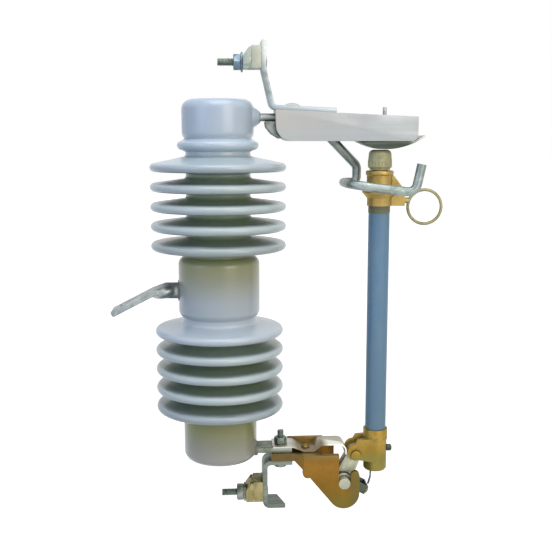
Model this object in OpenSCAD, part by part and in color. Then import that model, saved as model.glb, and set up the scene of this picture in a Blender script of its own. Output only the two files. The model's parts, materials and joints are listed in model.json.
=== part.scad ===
// Drop-out fuse cutout: a porcelain insulator on a steel bracket, a sprung top contact, a bronze
// hinge at the foot, and a fuse tube that is latched between them and swings out about its trunnion.
// X runs from the insulator towards the fuse tube, Z is up along the insulator, in millimetres.

/* [Insulator] */
// Height from the top shed's rim to the head's top
head_len = 68; // [67:1:84]
// Height from the lowest shed's rim to the foot's face
foot_len = 59; // [50:1:72]
// Diameter of the head
head_d = 73; // [68:1:80]
// Diameter of the foot
foot_d = 77; // [70:1:84]
// Diameter of the core between the sheds
core_d = 66; // [58:1:68]
// Diameter of the barrel that holds the bracket
barrel_d = 84; // [76:1:96]
// Height of the barrel's upper edge above the bracket's axis
barrel_up = 36; // [30:1:40]
// Depth of the barrel's lower edge below the bracket's axis
barrel_down = 28; // [22:1:32]
// Diameter of the rib under the head
rib_d = 83; // [78:1:92]
// Number of sheds in each group
shed_count = 5; // [2:1:5]
// Height from one shed to the next
shed_pitch = 20; // [18:0.5:20.5]
// Diameter of the upper sheds
upper_shed_d = 139; // [120:1:150]
// Diameter of the lower sheds
lower_shed_d = 133; // [120:1:150]
// Radius of a shed's round rim
rim_r = 4.2; // [3:0.1:4.6]
// Slope of the upper sheds' top, in degrees
upper_shed_slope = 8; // [4:0.5:10]
// Slope of the lower sheds' top, in degrees
lower_shed_slope = 10; // [4:0.5:12]

/* [Mounting bracket] */
// Diameter of the round shank that is cemented into the barrel
shank_d = 17; // [14:0.5:22]
// Width of the flat bar
bar_w = 30; // [26:1:40]
// Thickness of the flat bar
bar_t = 6; // [5:0.5:10]
// Angle of the bar's end below level, in degrees
bracket_drop = 27; // [15:1:35]
// Length of the sloping end
bracket_end = 50; // [44:1:70]
// Diameter of the bolt hole
bracket_hole_d = 13; // [9:0.5:16]

/* [Top contact] */
// Distance from the insulator's axis to the fuse tube's axis
tube_x = 167; // [155:1:190]
// Depth of the upper stud's axis below the head's top
stud_drop = 17.9; // [14:0.1:24]
// Diameter of the upper stud
stud_d = 8; // [6:0.5:10]
// Width of the channel
channel_w = 40; // [36:1:50]
// Thickness of the channel's sheet
sheet_t = 2.5; // [2:0.1:4]
// Fall of the channel's top towards the tube, in degrees
channel_fall = 2.6; // [0:0.1:6]
// Diameter of the attachment hook's rod
hook_rod_d = 9.5; // [7:0.5:10]
// Distance of the hook's leg from the middle plane
hook_reach = 30; // [29:0.5:36]
// Width of the contact shoe
shoe_w = 26; // [20:1:30]
// Thickness of the contact shoe
shoe_t = 1.8; // [1.2:0.1:2.4]
// Wire diameter of the contact spring
spring_wire = 2.2; // [1.6:0.1:2.6]
// Turns of the contact spring
spring_turns = 5; // [3:1:6]

/* [Terminals] */
// Width of the terminal straps
strap_w = 27; // [24:1:32]
// Thickness of the terminal straps
strap_t = 5; // [4:0.5:6]
// Height of the upper strap above the channel
upper_strap_h = 66; // [60:1:80]
// Depth of the lower strap below its bolted leg
lower_strap_h = 48; // [44:1:60]
// Diameter of the clamp bolts
clamp_bolt_d = 8; // [6:0.5:9]
// Diameter of the conductor that a clamp takes
conductor_d = 7; // [6:0.5:9]

/* [Hinge] */
// Thickness of the lower insert bar
insert_t = 5.5; // [4:0.5:8]
// Width of the lower insert bar
insert_w = 25; // [20:1:28]
// Height of the lower insert bar's middle above the foot's face
insert_up = 9.1; // [9:0.1:16]
// Distance from the fuse tube's axis back to the trunnion's axis
hinge_offset = 36; // [34:0.5:38]
// Drop of the trunnion's axis below the lower insert bar
hinge_drop = 35.5; // [34:0.5:40]
// Diameter of the trunnion's pins
trunnion_d = 12.6; // [11:0.2:14]
// Gap between the hinge's two cheeks
cheek_gap = 37; // [36:0.5:44]
// Thickness of a cheek
cheek_t = 5; // [4:0.5:7]
// Diameter of the hinge bolt
hinge_bolt_d = 7; // [6:0.5:9]

/* [Fuse holder] */
// Outside diameter of the fuse tube
tube_d = 22; // [20:0.5:23]
// Bore of the fuse tube
tube_bore = 12.7; // [10:0.1:15]
// Diameter of the top ferrule's collar
skirt_d = 36; // [32:0.5:40]
// Outside diameter of the pull ring
ring_d = 38.6; // [34:0.2:46]
// Thickness of the pull ring's wire
ring_wire = 3.2; // [3:0.2:5]
// Diameter of the fuse link's cable
link_d = 2.4; // [1.6:0.1:4]

/* [Clearances] */
// Gap around a cemented, clamped or screwed fit
seat = 0.2; // [0.1:0.05:0.3]
// Running gap of the trunnion in its hooks
running_gap = 0.08; // [0.02:0.01:0.1]
// Gap between the fuse holder's cap and the contact shoe
contact_gap = 0.5; // [0.3:0.1:1]

/* [Hidden] */
$fn = 64;
arc_steps = 6;
rod_sides = 12;

head_r = head_d / 2;
foot_r = foot_d / 2;
core_r = core_d / 2;
barrel_r = barrel_d / 2;
rib_r = rib_d / 2;
shank_r = shank_d / 2;

// The porcelain stacks up and down from the barrel, so its height follows from its sheds
upper_shed_gap = 11;
lower_shed_gap = 14;
function upper_shed_z(k) = barrel_up + upper_shed_gap + k * shed_pitch;
function lower_shed_z(k) = -barrel_down - lower_shed_gap - k * shed_pitch;
head_top = upper_shed_z(shed_count - 1) + head_len;
foot_depth = foot_len - lower_shed_z(shed_count - 1);

// Porcelain details that show as rounding only
head_round = 10;
foot_round = 9;
barrel_round = 8;
root_round = 3;
rib_rim = 4.5;
rib_drop = 46;
neck_h = 38;
boss_base_r = 13;
boss_tip_r = 6.5;
boss_len = 6;
insert_depth = 22;

// Bracket: the shank leaves the barrel, flattens into the bar, then the bar bends down
shank_out = 14;
flatten_len = 10;
hole_edge = 16;
shank_tip_x = -(barrel_r - insert_depth);
shank_end_x = -(barrel_r + shank_out);
bend_x = shank_end_x - flatten_len;
bend_r = 10;
hole_along = bracket_end - hole_edge;
drop_dir = [-cos(bracket_drop), -sin(bracket_drop)];
drop_up = [-sin(bracket_drop), cos(bracket_drop)];
mount_point = [bend_x, 0] + hole_along * drop_dir + bar_t / 2 * drop_up;

// Top contact levels, all from the upper stud
stud_z = head_top - stud_drop;
stud_r = stud_d / 2;
gusset_out = 10.5;
gusset_w = 24;
channel_gap = 21.5;
channel_x = head_r + channel_gap;
channel_over = 35;
channel_end_x = tube_x + channel_over;
channel_back_z = stud_z + 7.2;
channel_low_z = stud_z - 23.8;
channel_round = 16;
nose_round = 7;
web_fall = tan(channel_fall);
shoe_dip = 8.2;
contact_z = channel_low_z - shoe_dip;
shoe_len_back = 30;
shoe_len_front = 40;
shoe_wall_back = 26;
shoe_wall_front = 29;
shoe_low_x = tube_x + 4;
pin_r = 2;
pin_proud = 8.5;
spring_r = 8;

// The attachment hook's corners, from the tube's axis and the contact
hook_root_x = tube_x - 53;
hook_root_y = 9;
hook_stem_x = tube_x - 20.5;
hook_stem_y = 23;
hook_back_x = tube_x - 35;
hook_front_x = tube_x + 31;
hook_tip_x = tube_x + 37;
hook_knee_z = contact_z + 13.7;
hook_elbow_z = contact_z - 17.5;
hook_leg_z = contact_z - 34.8;
hook_leg_fall = 8.5;
hook_tip_z = hook_leg_z + 20;
hook_bend_r = 9;
hook_turn_r = 6;
hook_wrap_r = 20;

// Levels of the fuse holder's top, down from the contact
cap_top_z = contact_z - contact_gap;
cap_h = 20.6;
cap_r = 12.4;
cap_wall = 7.5;
cap_skirt_z = 3.6;
cap_flutes = 20;
neck_r = 8.5;
ferrule_top_z = cap_top_z - 21.3;
skirt_z = ferrule_top_z - 22;
skirt_rim = 2.2;
skirt_h = 6.5;
top_flange_t = 5;
tube_seat = 3;
neck_bore_r = 5;
neck_top_z = cap_top_z - cap_wall - 0.3;
wing_hip = 23.5;
wing_rise = 14;
ferrule_low_z = ferrule_top_z - 36.5;
ferrule_r = tube_d / 2 + 1.8;
lug_h = 11;
lug_z = ferrule_low_z + lug_h / 2;
lug_w = 10;
lug_len = 26;
ring_x = tube_x + 47.8;
ring_z = lug_z - 6.8;
stem_r = 3;
stem_x = tube_x + tube_d / 2 + 4;

// Lower hinge levels, down from the insert bar
insert_z = insert_up - foot_depth;
insert_low_z = insert_z - insert_t / 2;
tongue_t = 8.5;
tongue_low_z = insert_low_z - tongue_t;
insert_len = 59;
insert_tip_x = foot_r - insert_depth;
bolt_x = foot_r + 25.5;
tongue_x = foot_r + 15;
hinge_x = tube_x - hinge_offset;
hinge_z = insert_z - hinge_drop;
trunnion_r = trunnion_d / 2;
slot_r = trunnion_r + running_gap;
cheek_in = cheek_gap / 2;
cheek_out = cheek_in + cheek_t;
cheek_top_z = insert_low_z;
cheek_len = 44;
cheek_back_x = hinge_x - cheek_len;
heel_h = 16.5;
far_rise = 6.2;
far_back = 14;
far_len = 39;
gusset_len = 9;
tongue_w = 31;
web_len = 17;
web_t = 8;
rim_h = 5.5;
bowl_r = 16.5;
bowl_drop = 10.5;
lip_rise = 9.6;
lip_w = 9.4;
heel_boss_r = 5.5;
rib_proud = 1.5;
strip_t = 1.6;
strip_w = 28;
strip_back = 9;
strip_seat = 13;
strip_rise = 7;
strip_gap = 1.7;

// Levels of the fuse holder's foot, from the hinge
sleeve_top_z = hinge_z + 54.4;
holder_low_z = hinge_z + 8.6;
sleeve_r = tube_d / 2 + 2;
body_r = tube_d / 2 + 1.4;
sleeve_h = 12;
exhaust_lip = 5;
screw_r = 2.5;
screw_head_r = 3.6;
screw_up = 23;
arm_r = 9;
arm_low = 9.5;
arm_high = 17.5;
toggle_x = hinge_x + 13;
toggle_z = hinge_z + 28;
eye_r = 7.5;
hub_r = 9.5;
lever_w = 14;
prong_t = 4.5;
prong_in = lever_w / 2 + 0.5;
prong_out = prong_in + prong_t;
toggle_pin_r = 3.5;
flipper_in = lever_w / 2 + 1.5;
flipper_t = 2;
flipper_reach = 28.5;
flipper_fall = 27;
tab_h = 10;
tail_x = tube_x - 4.5;

// Points along an arc from angle a to angle b
function arc(c, r, a, b, n = arc_steps) =
  [for (i = [0:n]) c + r * [cos(a + (b - a) * i / n), sin(a + (b - a) * i / n)]];

// Reversed copy of a list
function reversed(list) = [for (i = [len(list) - 1:-1:0]) list[i]];

function unit(v) = v / norm(v);

// A polyline whose inner corners are rounded to the radii given, in two or three dimensions
function rounded(p, radii, n = arc_steps) = [
  for (i = [0:len(p) - 1])
    for (q = i == 0 || i == len(p) - 1 ? [p[i]] : corner(p[i - 1], p[i], p[i + 1], radii[i - 1], n)) q
];

// The arc that rounds the corner at b between a and c
function corner(a, b, c, r, n) =
  let(
    u = unit(a - b),
    v = unit(c - b),
    half = acos(u * v) / 2,
    centre = b + r / sin(half) * unit(u + v),
    start = b + r / tan(half) * u - centre,
    end = b + r / tan(half) * v - centre,
    sweep = 180 - 2 * half
  )
  [for (i = [0:n]) centre + (sin(sweep * (1 - i / n)) * start + sin(sweep * i / n) * end) / sin(sweep)];

// Direction of a path at point i
function heading(p, i) = unit(p[min(i + 1, len(p) - 1)] - p[max(i - 1, 0)]);

// Frames carried along a path without twist, as side vectors
function sides_along(p, i, side) =
  i == len(p) ? [] :
  let(t = heading(p, i), s = unit(side - (side * t) * t))
  concat([s], sides_along(p, i + 1, s));

// A round rod swept along a path
module rod(p, r, first_side, n = rod_sides) {
  s = sides_along(p, 0, first_side);
  points = [
    for (i = [0:len(p) - 1])
      let(t = heading(p, i), b = cross(t, s[i]))
      for (k = [0:n - 1]) p[i] + r * (cos(360 * k / n) * s[i] + sin(360 * k / n) * b)
  ];
  last = (len(p) - 1) * n;
  faces = concat(
    [[for (k = [n - 1:-1:0]) k], [for (k = [0:n - 1]) last + k]],
    [for (i = [0:len(p) - 2]) for (k = [0:n - 1])
      [i * n + k, i * n + (k + 1) % n, (i + 1) * n + (k + 1) % n, (i + 1) * n + k]]
  );
  polyhedron(points, [for (f = faces) reversed(f)]);
}

// Unit normal to the left of a flat path at point i
function left_of(p, i) = let(t = heading(p, i)) [-t[1], t[0]];

// The outline of a strip of thickness t whose middle follows a flat path
function strip_outline(p, t) = concat(
  [for (i = [0:len(p) - 1]) p[i] + t / 2 * left_of(p, i)],
  [for (i = [len(p) - 1:-1:0]) p[i] - t / 2 * left_of(p, i)]
);

// A flat outline in X and Z, extruded evenly to both sides of the middle plane
module plate(outline, w) {
  rotate([90, 0, 0]) linear_extrude(w, center = true) polygon(outline);
}

// A round bar along X or Y, from one coordinate to another
module bar_x(from, to, r, y, z) {
  translate([from, y, z]) rotate([0, 90, 0]) cylinder(h = to - from, r = r);
}

module bar_y(from, to, r, x, z) {
  translate([x, from, z]) rotate([-90, 0, 0]) cylinder(h = to - from, r = r);
}

// A hexagon nut or head along Z, across its flats
module hex(flats, h) {
  cylinder(h = h, d = flats / cos(30), $fn = 6);
}

// The whole part is drawn about the insulator's axis and then moved so that the origin lies on the
// bracket's bolting face, in the middle of its hole
module placed() {
  translate([-mount_point[0], 0, -mount_point[1]]) children();
}

// Outline of one shed from its lower root to its upper root
function shed(z, r, slope, neck = core_r) =
  let(
    rim = [r - rim_r, z],
    root = z + rim_r / cos(slope) + (r - rim_r - neck) * tan(slope)
  )
  concat(
    arc([core_r + root_round, z - rim_r - root_round], root_round, 180, 90, 3),
    arc(rim, rim_r, -90, 90 - slope),
    arc([neck + root_round, root + root_round * (1 / cos(slope) - tan(slope))],
        root_round, 270 - slope, 180, 3)
  );

// Outline of the porcelain from the middle of its foot up to the middle of its head
function porcelain_outline() = concat(
  [[0, -foot_depth]],
  arc([foot_r - foot_round, foot_round - foot_depth], foot_round, -90, 0),
  [[foot_r, lower_shed_z(shed_count - 1) - rim_r - root_round - 4]],
  [for (k = [shed_count - 1:-1:1]) for (q = shed(lower_shed_z(k), lower_shed_d / 2, lower_shed_slope)) q],
  shed(lower_shed_z(0), lower_shed_d / 2, lower_shed_slope, barrel_r - barrel_round / 2),
  arc([barrel_r - barrel_round, barrel_round - barrel_down], barrel_round, -60, 0),
  arc([barrel_r - barrel_round, barrel_up - barrel_round], barrel_round, 0, 90),
  [[core_r, barrel_up]],
  [for (k = [0:shed_count - 2]) for (q = shed(upper_shed_z(k), upper_shed_d / 2, upper_shed_slope)) q],
  shed(upper_shed_z(shed_count - 1), upper_shed_d / 2, upper_shed_slope + 4),
  [[core_r, head_top - rib_drop - rib_rim - 2]],
  arc([rib_r - rib_rim, head_top - rib_drop], rib_rim, -90, 80),
  [[head_r - 2.5, head_top - neck_h - 1.5], [head_r - 1, head_top - neck_h + 1], [head_r, head_top - neck_h + 5]],
  arc([head_r - head_round, head_top - head_round], head_round, 0, 90),
  [[0, head_top]]
);

module insulator() {
  color("#aab4bd") difference() {
    union() {
      rotate_extrude() polygon(porcelain_outline());
      translate([head_r - 4, 0, stud_z]) rotate([0, 90, 0])
        cylinder(h = boss_len + 4, r1 = boss_base_r, r2 = boss_tip_r);
    }
    bar_x(-barrel_r - 1, shank_tip_x, shank_r + seat, 0, 0);
    bar_x(head_r - insert_depth, head_r + boss_len + 1, stud_r + seat, 0, stud_z);
    translate([insert_tip_x, -insert_w / 2 - seat, insert_low_z - seat])
      cube([insert_depth + 1, insert_w + 2 * seat, insert_t + 2 * seat]);
  }
}

module mounting_bracket() {
  path = rounded([[bend_x + 3, 0], [bend_x, 0], [bend_x, 0] + bracket_end * drop_dir], [bend_r]);
  color("#a4a8a6") difference() {
    union() {
      bar_x(shank_end_x, shank_tip_x, shank_r, 0, 0);
      hull() {
        bar_x(shank_end_x - 0.5, shank_end_x, shank_r, 0, 0, $fn = 32);
        translate([bend_x + 2.5, -bar_w / 2, -bar_t / 2]) cube([0.5, bar_w, bar_t]);
      }
      plate(strip_outline(path, bar_t), bar_w);
    }
    translate([mount_point[0], 0, mount_point[1]]) rotate([0, -bracket_drop, 0])
      cylinder(h = 4 * bar_t, d = bracket_hole_d, center = true);
  }
}

module upper_stud() {
  color("#b3b7b8") bar_x(head_r - insert_depth, channel_x + sheet_t + 1, stud_r, 0, stud_z);
}

// A web under the stud that carries the channel's round back
module stud_gusset() {
  top_z = stud_z - stud_r - seat;
  hollow = reversed(arc([channel_x + channel_round, channel_low_z + channel_round], channel_round + seat, 180, 232, 8));
  color("#6d716d") plate(concat(
    hollow,
    [[channel_x - seat, top_z], [channel_x - gusset_out, top_z], [channel_x - 0.9 * gusset_out, stud_z - 10],
     [channel_x - 0.4 * gusset_out, stud_z - 16.5], [channel_x + 0.4 * gusset_out, channel_low_z + 2.2]]
  ), gusset_w);
}

// Height of the channel's top surface at a distance x from the insulator
function web_z(x) = channel_back_z - (x - channel_x) * web_fall;

// Side outline of the channel, with a large round at its lower back corner and a small one at its nose
function channel_outline() = concat(
  [[channel_x, web_z(channel_x)]],
  arc([channel_x + channel_round, channel_low_z + channel_round], channel_round, 180, 270, 10),
  arc([channel_end_x - nose_round, channel_low_z + nose_round], nose_round, 270, 360),
  [[channel_end_x, web_z(channel_end_x)]]
);

// What is cut from the channel: everything inside its back and top sheet, open below and at the nose
function channel_inside() = concat(
  [[channel_x + sheet_t, web_z(channel_x) - sheet_t]],
  arc([channel_x + channel_round, channel_low_z + channel_round], channel_round - sheet_t, 180, 270, 10),
  [[channel_x + channel_round, channel_low_z - 1], [channel_end_x + 1, channel_low_z - 1],
   [channel_end_x + 1, web_z(channel_end_x + 1) - sheet_t]]
);

module top_channel() {
  color("#c9cdcf") difference() {
    plate(channel_outline(), channel_w);
    plate(channel_inside(), channel_w - 2 * sheet_t);
    bar_x(channel_x - 1, channel_x + sheet_t + 1, stud_r + seat, 0, stud_z);
    translate([shoe_low_x, 0, contact_z]) cylinder(h = web_z(shoe_low_x), r = pin_r + seat);
  }
}

// The upper strap lies on the channel's top and turns up past its back
upper_foot = 62;
upper_lean = 13;
upper_knee_h = 0.575 * upper_strap_h;
upper_bolt_up = 6.8;
strap_base = [channel_x - 1.5, web_z(channel_x - 1.5)];
upper_turn = strap_base + strap_t / 2 * [0, 1] - [1.5, 0];
upper_knee = upper_turn + upper_knee_h * [-tan(upper_lean), 1];
upper_bolt = upper_knee + [0, upper_bolt_up];

module upper_terminal_strap() {
  path = rounded(
    [upper_turn + (upper_foot + 3) * [cos(channel_fall), -sin(channel_fall)] + [0, 0],
     upper_turn, upper_knee, upper_knee + [0, upper_strap_h - upper_knee_h]], [6, 8]);
  lift = strap_t / 2 * (1 / cos(channel_fall) - 1) + 1.5 * web_fall;
  color("#b3bcc2") difference() {
    translate([0, 0, lift]) plate(strip_outline(path, strap_t), strap_w);
    translate([upper_bolt[0], 0, upper_bolt[1] + lift]) rotate([0, -90, 0])
      cylinder(h = 4 * strap_t, d = clamp_bolt_d + 2 * seat, center = true);
  }
}

// A clamp's parts are drawn on the strap's face, with Z out of the face and X up along the strap. Two
// halves close on the conductors, which lie along the strap at either side of the bolt
clamp_inner_t = 10;
clamp_outer_t = 8;
clamp_t = clamp_inner_t + clamp_outer_t;
clamp_wall = 1.8;
groove_y = clamp_bolt_d / 2 + conductor_d / 2 + 1.2;
clamp_w = 2 * (groove_y + conductor_d / 2 + clamp_wall);
clamp_span = [6.5, 15.5];
keeper_short = 1.5;
keeper_slant = 8;
washer_t = 2;
clamp_nut_t = 7.5;
bolt_proud = 16;

module clamp_grooves(span) {
  for (side = [-1, 1])
    bar_x(-span[0] - 1, span[1] + 1, conductor_d / 2, side * groove_y, clamp_inner_t);
  cylinder(h = clamp_t + 1, d = clamp_bolt_d + 2 * seat);
}

module clamp_block(span) {
  difference() {
    translate([-span[0], -clamp_w / 2, 0]) cube([span[0] + span[1], clamp_w, clamp_inner_t - seat]);
    translate([0, 0, -1]) clamp_grooves(span);
    clamp_grooves(span);
  }
}

module clamp_keeper(span) {
  top = span[1] - keeper_short;
  difference() {
    plate([[-span[0], clamp_inner_t], [top, clamp_inner_t], [top, clamp_inner_t + 2],
           [top - keeper_slant, clamp_t], [-span[0], clamp_t]], clamp_w);
    clamp_grooves(span);
  }
}

module clamp_bolt() {
  translate([0, 0, -strap_t]) cylinder(h = strap_t + clamp_t + washer_t + clamp_nut_t + bolt_proud, d = clamp_bolt_d);
  translate([0, 0, -strap_t - 1.6]) cylinder(h = 1.6, r1 = clamp_bolt_d / 2 + 1.5, r2 = clamp_bolt_d / 2 + 3);
}

module clamp_nut() {
  difference() {
    translate([0, 0, clamp_t]) union() {
      cylinder(h = washer_t, d = 2.5 * clamp_bolt_d);
      translate([0, 0, washer_t]) hex(1.9 * clamp_bolt_d, clamp_nut_t);
    }
    cylinder(h = 3 * clamp_t, d = clamp_bolt_d + 2 * seat);
  }
}

module on_upper_strap() {
  lift = strap_t / 2 * (1 / cos(channel_fall) - 1) + 1.5 * web_fall;
  translate([upper_bolt[0] - strap_t / 2, 0, upper_bolt[1] + lift]) rotate([0, -90, 0]) children();
}

module upper_clamp_block() color("#c3c4b4") on_upper_strap() clamp_block(clamp_span);
module upper_clamp_keeper() color("#a3b0ae") on_upper_strap() clamp_keeper(clamp_span);
module upper_clamp_bolt() color("#8f979c") on_upper_strap() clamp_bolt();
module upper_clamp_nut() color("#a9b4bd") on_upper_strap() clamp_nut();

// Height of the shoe's middle line at a distance x: a shallow bow that rises to both ends
shoe_rise = 12.5;
function shoe_z(x) =
  let(d = (x - shoe_low_x) / (x < shoe_low_x ? shoe_len_back * 1.2 : shoe_len_front))
  contact_z + shoe_t / 2 + shoe_rise * d * d;

module contact_shoe() {
  path = [for (i = [0:16]) let(x = shoe_low_x - shoe_len_back + i * (shoe_len_back + shoe_len_front) / 16)
    [x, shoe_z(x)]];
  wall = concat(
    [for (i = [0:10]) let(x = shoe_low_x - shoe_wall_back + i * (shoe_wall_back + shoe_wall_front) / 10) [x, shoe_z(x)]],
    [[shoe_low_x + shoe_wall_front, channel_low_z + 1.5], [shoe_low_x - shoe_wall_back, channel_low_z + 1.5]]
  );
  color("#8d9389") {
    plate(strip_outline(path, shoe_t), shoe_w);
    for (side = [-1, 1]) translate([0, side * (shoe_w - shoe_t) / 2, 0]) plate(wall, shoe_t);
  }
}

module contact_pin() {
  color("#9a9fa3") {
    difference() {
      translate([shoe_low_x, 0, contact_z + shoe_t - 0.3])
        cylinder(h = web_z(shoe_low_x) + pin_proud - contact_z - shoe_t + 0.3, r = pin_r);
      contact_shoe();
    }
  }
}

module contact_spring() {
  low = contact_z + shoe_t + spring_wire / 2 + 0.9;
  high = web_z(shoe_low_x + spring_r) - sheet_t / cos(channel_fall) - spring_wire / 2 - 0.2;
  steps = spring_turns * 14;
  path = [for (i = [0:steps])
    let(a = 360 * spring_turns * i / steps, rise = min(1, max(0, (i - 10) / (steps - 20))))
    [shoe_low_x + spring_r * cos(a), spring_r * sin(a), low + (high - low) * rise]];
  color("#b9bdc0") rod(path, spring_wire / 2, [1, 0, 0], 8);
}

// One bent rod: it leaves the channel behind the tube, wraps round the back of the ferrule on the far
// side, runs forward along the near side and ends in a horn
module attachment_hook() {
  r = hook_rod_d / 2;
  root_z = web_z(hook_root_x + r) - sheet_t / cos(channel_fall) - seat;
  path = rounded([
    [hook_root_x, hook_root_y, root_z],
    [hook_root_x, hook_root_y, hook_knee_z],
    [hook_stem_x, hook_stem_y, hook_elbow_z],
    [hook_stem_x, hook_stem_y, hook_leg_z],
    [hook_back_x, hook_stem_y, hook_leg_z],
    [hook_back_x, -hook_reach, hook_leg_z],
    [hook_front_x, -hook_reach, hook_leg_z - hook_leg_fall],
    [hook_tip_x, -hook_reach, hook_tip_z]
  ], [hook_bend_r, hook_bend_r, hook_turn_r, hook_turn_r, hook_wrap_r, hook_bend_r], 6);
  color("#9aa9ad") rod(path, r, [0, 1, 0]);
}

module lower_insert_bar() {
  color("#9b9c8f") difference() {
    translate([insert_tip_x, -insert_w / 2, insert_low_z]) cube([insert_len, insert_w, insert_t]);
    translate([bolt_x, 0, insert_low_z - 1]) cylinder(h = insert_t + 2, d = hinge_bolt_d + 2 * seat);
  }
}

// Side outline of one cheek of the hinge, with the open hook that the trunnion hangs in
function cheek_outline() =
  let(
    bowl = [hinge_x + slot_r + lip_w - bowl_r, hinge_z - bowl_drop],
    heel = [cheek_back_x, cheek_top_z - heel_h],
    to_bowl = bowl - heel,
    slope = atan2(to_bowl[1], to_bowl[0]) - asin(bowl_r / norm(to_bowl)),
    lip = [bowl[0] + bowl_r - lip_w / 2, hinge_z + lip_rise]
  )
  concat(
    [[cheek_back_x, cheek_top_z], [hinge_x - slot_r, cheek_top_z]],
    arc([hinge_x, hinge_z], slot_r, 180, 360, 16),
    arc(lip, lip_w / 2, 180, 0),
    arc(bowl, bowl_r, 0, slope - 90, 12),
    [heel]
  );

module hinge_casting() {
  join_x = cheek_back_x + 2;
  tongue_side = [
    [tongue_x, insert_low_z], [join_x, insert_low_z], [join_x, cheek_top_z - heel_h],
    [cheek_back_x, cheek_top_z - heel_h], [cheek_back_x - gusset_len, tongue_low_z], [tongue_x, tongue_low_z]
  ];
  tongue_plan = [
    [tongue_x, -tongue_w / 2], [cheek_back_x - gusset_len, -tongue_w / 2], [cheek_back_x, -cheek_out],
    [join_x, -cheek_out], [join_x, cheek_out], [cheek_back_x, cheek_out],
    [cheek_back_x - gusset_len, tongue_w / 2], [tongue_x, tongue_w / 2]
  ];
  color("#a8823c") difference() {
    union() {
      for (side = [-1, 1]) {
        translate([0, side * (cheek_in + cheek_t / 2), 0]) plate(cheek_outline(), cheek_t);
        translate([cheek_back_x, side > 0 ? cheek_in : -cheek_out - rib_proud, cheek_top_z - rim_h])
          cube([hinge_x - slot_r - cheek_back_x, cheek_t + rib_proud, rim_h]);
      }
      translate([cheek_back_x, -cheek_out, cheek_top_z - web_t]) cube([web_len, 2 * cheek_out, web_t]);
      translate([cheek_back_x - far_back, cheek_in, cheek_top_z - rim_h])
        cube([far_len, cheek_t, rim_h + far_rise]);
      for (side = [-1, 1]) translate([0, side * (cheek_in + cheek_t / 2), 0])
        bar_y(-cheek_t / 2, cheek_t / 2, heel_boss_r, cheek_back_x + 4.5, cheek_top_z - heel_h - 3);
      intersection() {
        plate(tongue_side, 2 * cheek_out);
        translate([0, 0, cheek_top_z - 2 * heel_h]) linear_extrude(2 * heel_h) polygon(tongue_plan);
      }
    }
    translate([bolt_x, 0, tongue_low_z - 1]) cylinder(h = tongue_t + 2, d = hinge_bolt_d + 2 * seat);
  }
}

hinge_head_t = 5.5;
hinge_nut_t = 7;
hinge_bolt_proud = 7;
hinge_nut_z = insert_z + insert_t / 2 + strip_t;

module hinge_bolt() {
  low = tongue_low_z - strap_t;
  color("#7f8886") {
    translate([bolt_x, 0, low - hinge_head_t]) hex(1.7 * hinge_bolt_d, hinge_head_t);
    translate([bolt_x, 0, low]) cylinder(h = hinge_nut_z + hinge_nut_t + hinge_bolt_proud - low, d = hinge_bolt_d);
  }
}

module hinge_bolt_nut() {
  color("#8b9793") translate([bolt_x, 0, hinge_nut_z]) difference() {
    hex(1.7 * hinge_bolt_d, hinge_nut_t);
    translate([0, 0, -1]) cylinder(h = hinge_nut_t + 2, d = hinge_bolt_d + 2 * seat);
  }
}

// A sprung strip: bolted on the insert bar, riveted to the web, raised, and pressed on the trunnion's lever
module lower_contact_strip() {
  on_bar = insert_z + insert_t / 2 + strip_t / 2;
  on_web = cheek_top_z + strip_t / 2;
  drop_x = toggle_x - arm_r - strip_gap;
  path = rounded([
    [bolt_x - strip_back, on_bar], [insert_tip_x + insert_len + strip_t, on_bar], [cheek_back_x + strip_t, on_web],
    [cheek_back_x + strip_seat, on_web], [cheek_back_x + strip_seat + strip_rise, on_web + strip_rise],
    [drop_x, on_web + strip_rise], [drop_x, toggle_z + strip_t]], [3, 3, 4, 5, 7]);
  color("#d8d9d4") difference() {
    plate(strip_outline(path, strip_t), strip_w);
    translate([bolt_x, 0, on_bar]) cylinder(h = 4 * strip_t, d = hinge_bolt_d + 2 * seat, center = true);
  }
}

// The lower strap is bolted under the tongue, drops past the foot and ends in a turned-out toe
strap_gap = 8.4;
bolt_edge = 12;
lower_leg_x = foot_r + strap_gap;
lower_top_z = tongue_low_z - strap_t / 2;
lower_toe = 22;
toe_slant = 8;
lower_bolt = [lower_leg_x, lower_top_z - 0.755 * lower_strap_h];

module lower_terminal_strap() {
  path = rounded([
    [bolt_x + bolt_edge, lower_top_z], [lower_leg_x, lower_top_z], [lower_leg_x, lower_top_z - lower_strap_h],
    [lower_leg_x + lower_toe, lower_top_z - lower_strap_h]], [6, 5]);
  color("#9ba49c") difference() {
    plate(strip_outline(path, strap_t), strap_w);
    translate([bolt_x, 0, lower_top_z - strap_t]) cylinder(h = 2 * strap_t, d = hinge_bolt_d + 2 * seat);
    bar_x(lower_leg_x - strap_t, lower_leg_x + strap_t, clamp_bolt_d / 2 + seat, 0, lower_bolt[1]);
    translate([lower_leg_x + lower_toe, 0, lower_top_z - lower_strap_h - strap_t])
      linear_extrude(2 * strap_t) polygon([
        [0, -strap_w / 2 - 1], [1, -strap_w / 2 - 1], [1, strap_w / 2 + 1], [-toe_slant, strap_w / 2 + 1]]);
  }
}

module on_lower_strap() {
  translate([lower_bolt[0] - strap_t / 2, 0, lower_bolt[1]]) rotate([0, -90, 0]) children();
}

module lower_clamp_block() color("#b39a55") on_lower_strap() clamp_block(clamp_span);
module lower_clamp_keeper() color("#a99a62") on_lower_strap() clamp_keeper(clamp_span);
module lower_clamp_bolt() color("#7d8380") on_lower_strap() clamp_bolt();
module lower_clamp_nut() color("#8a8c79") on_lower_strap() clamp_nut();

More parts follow.
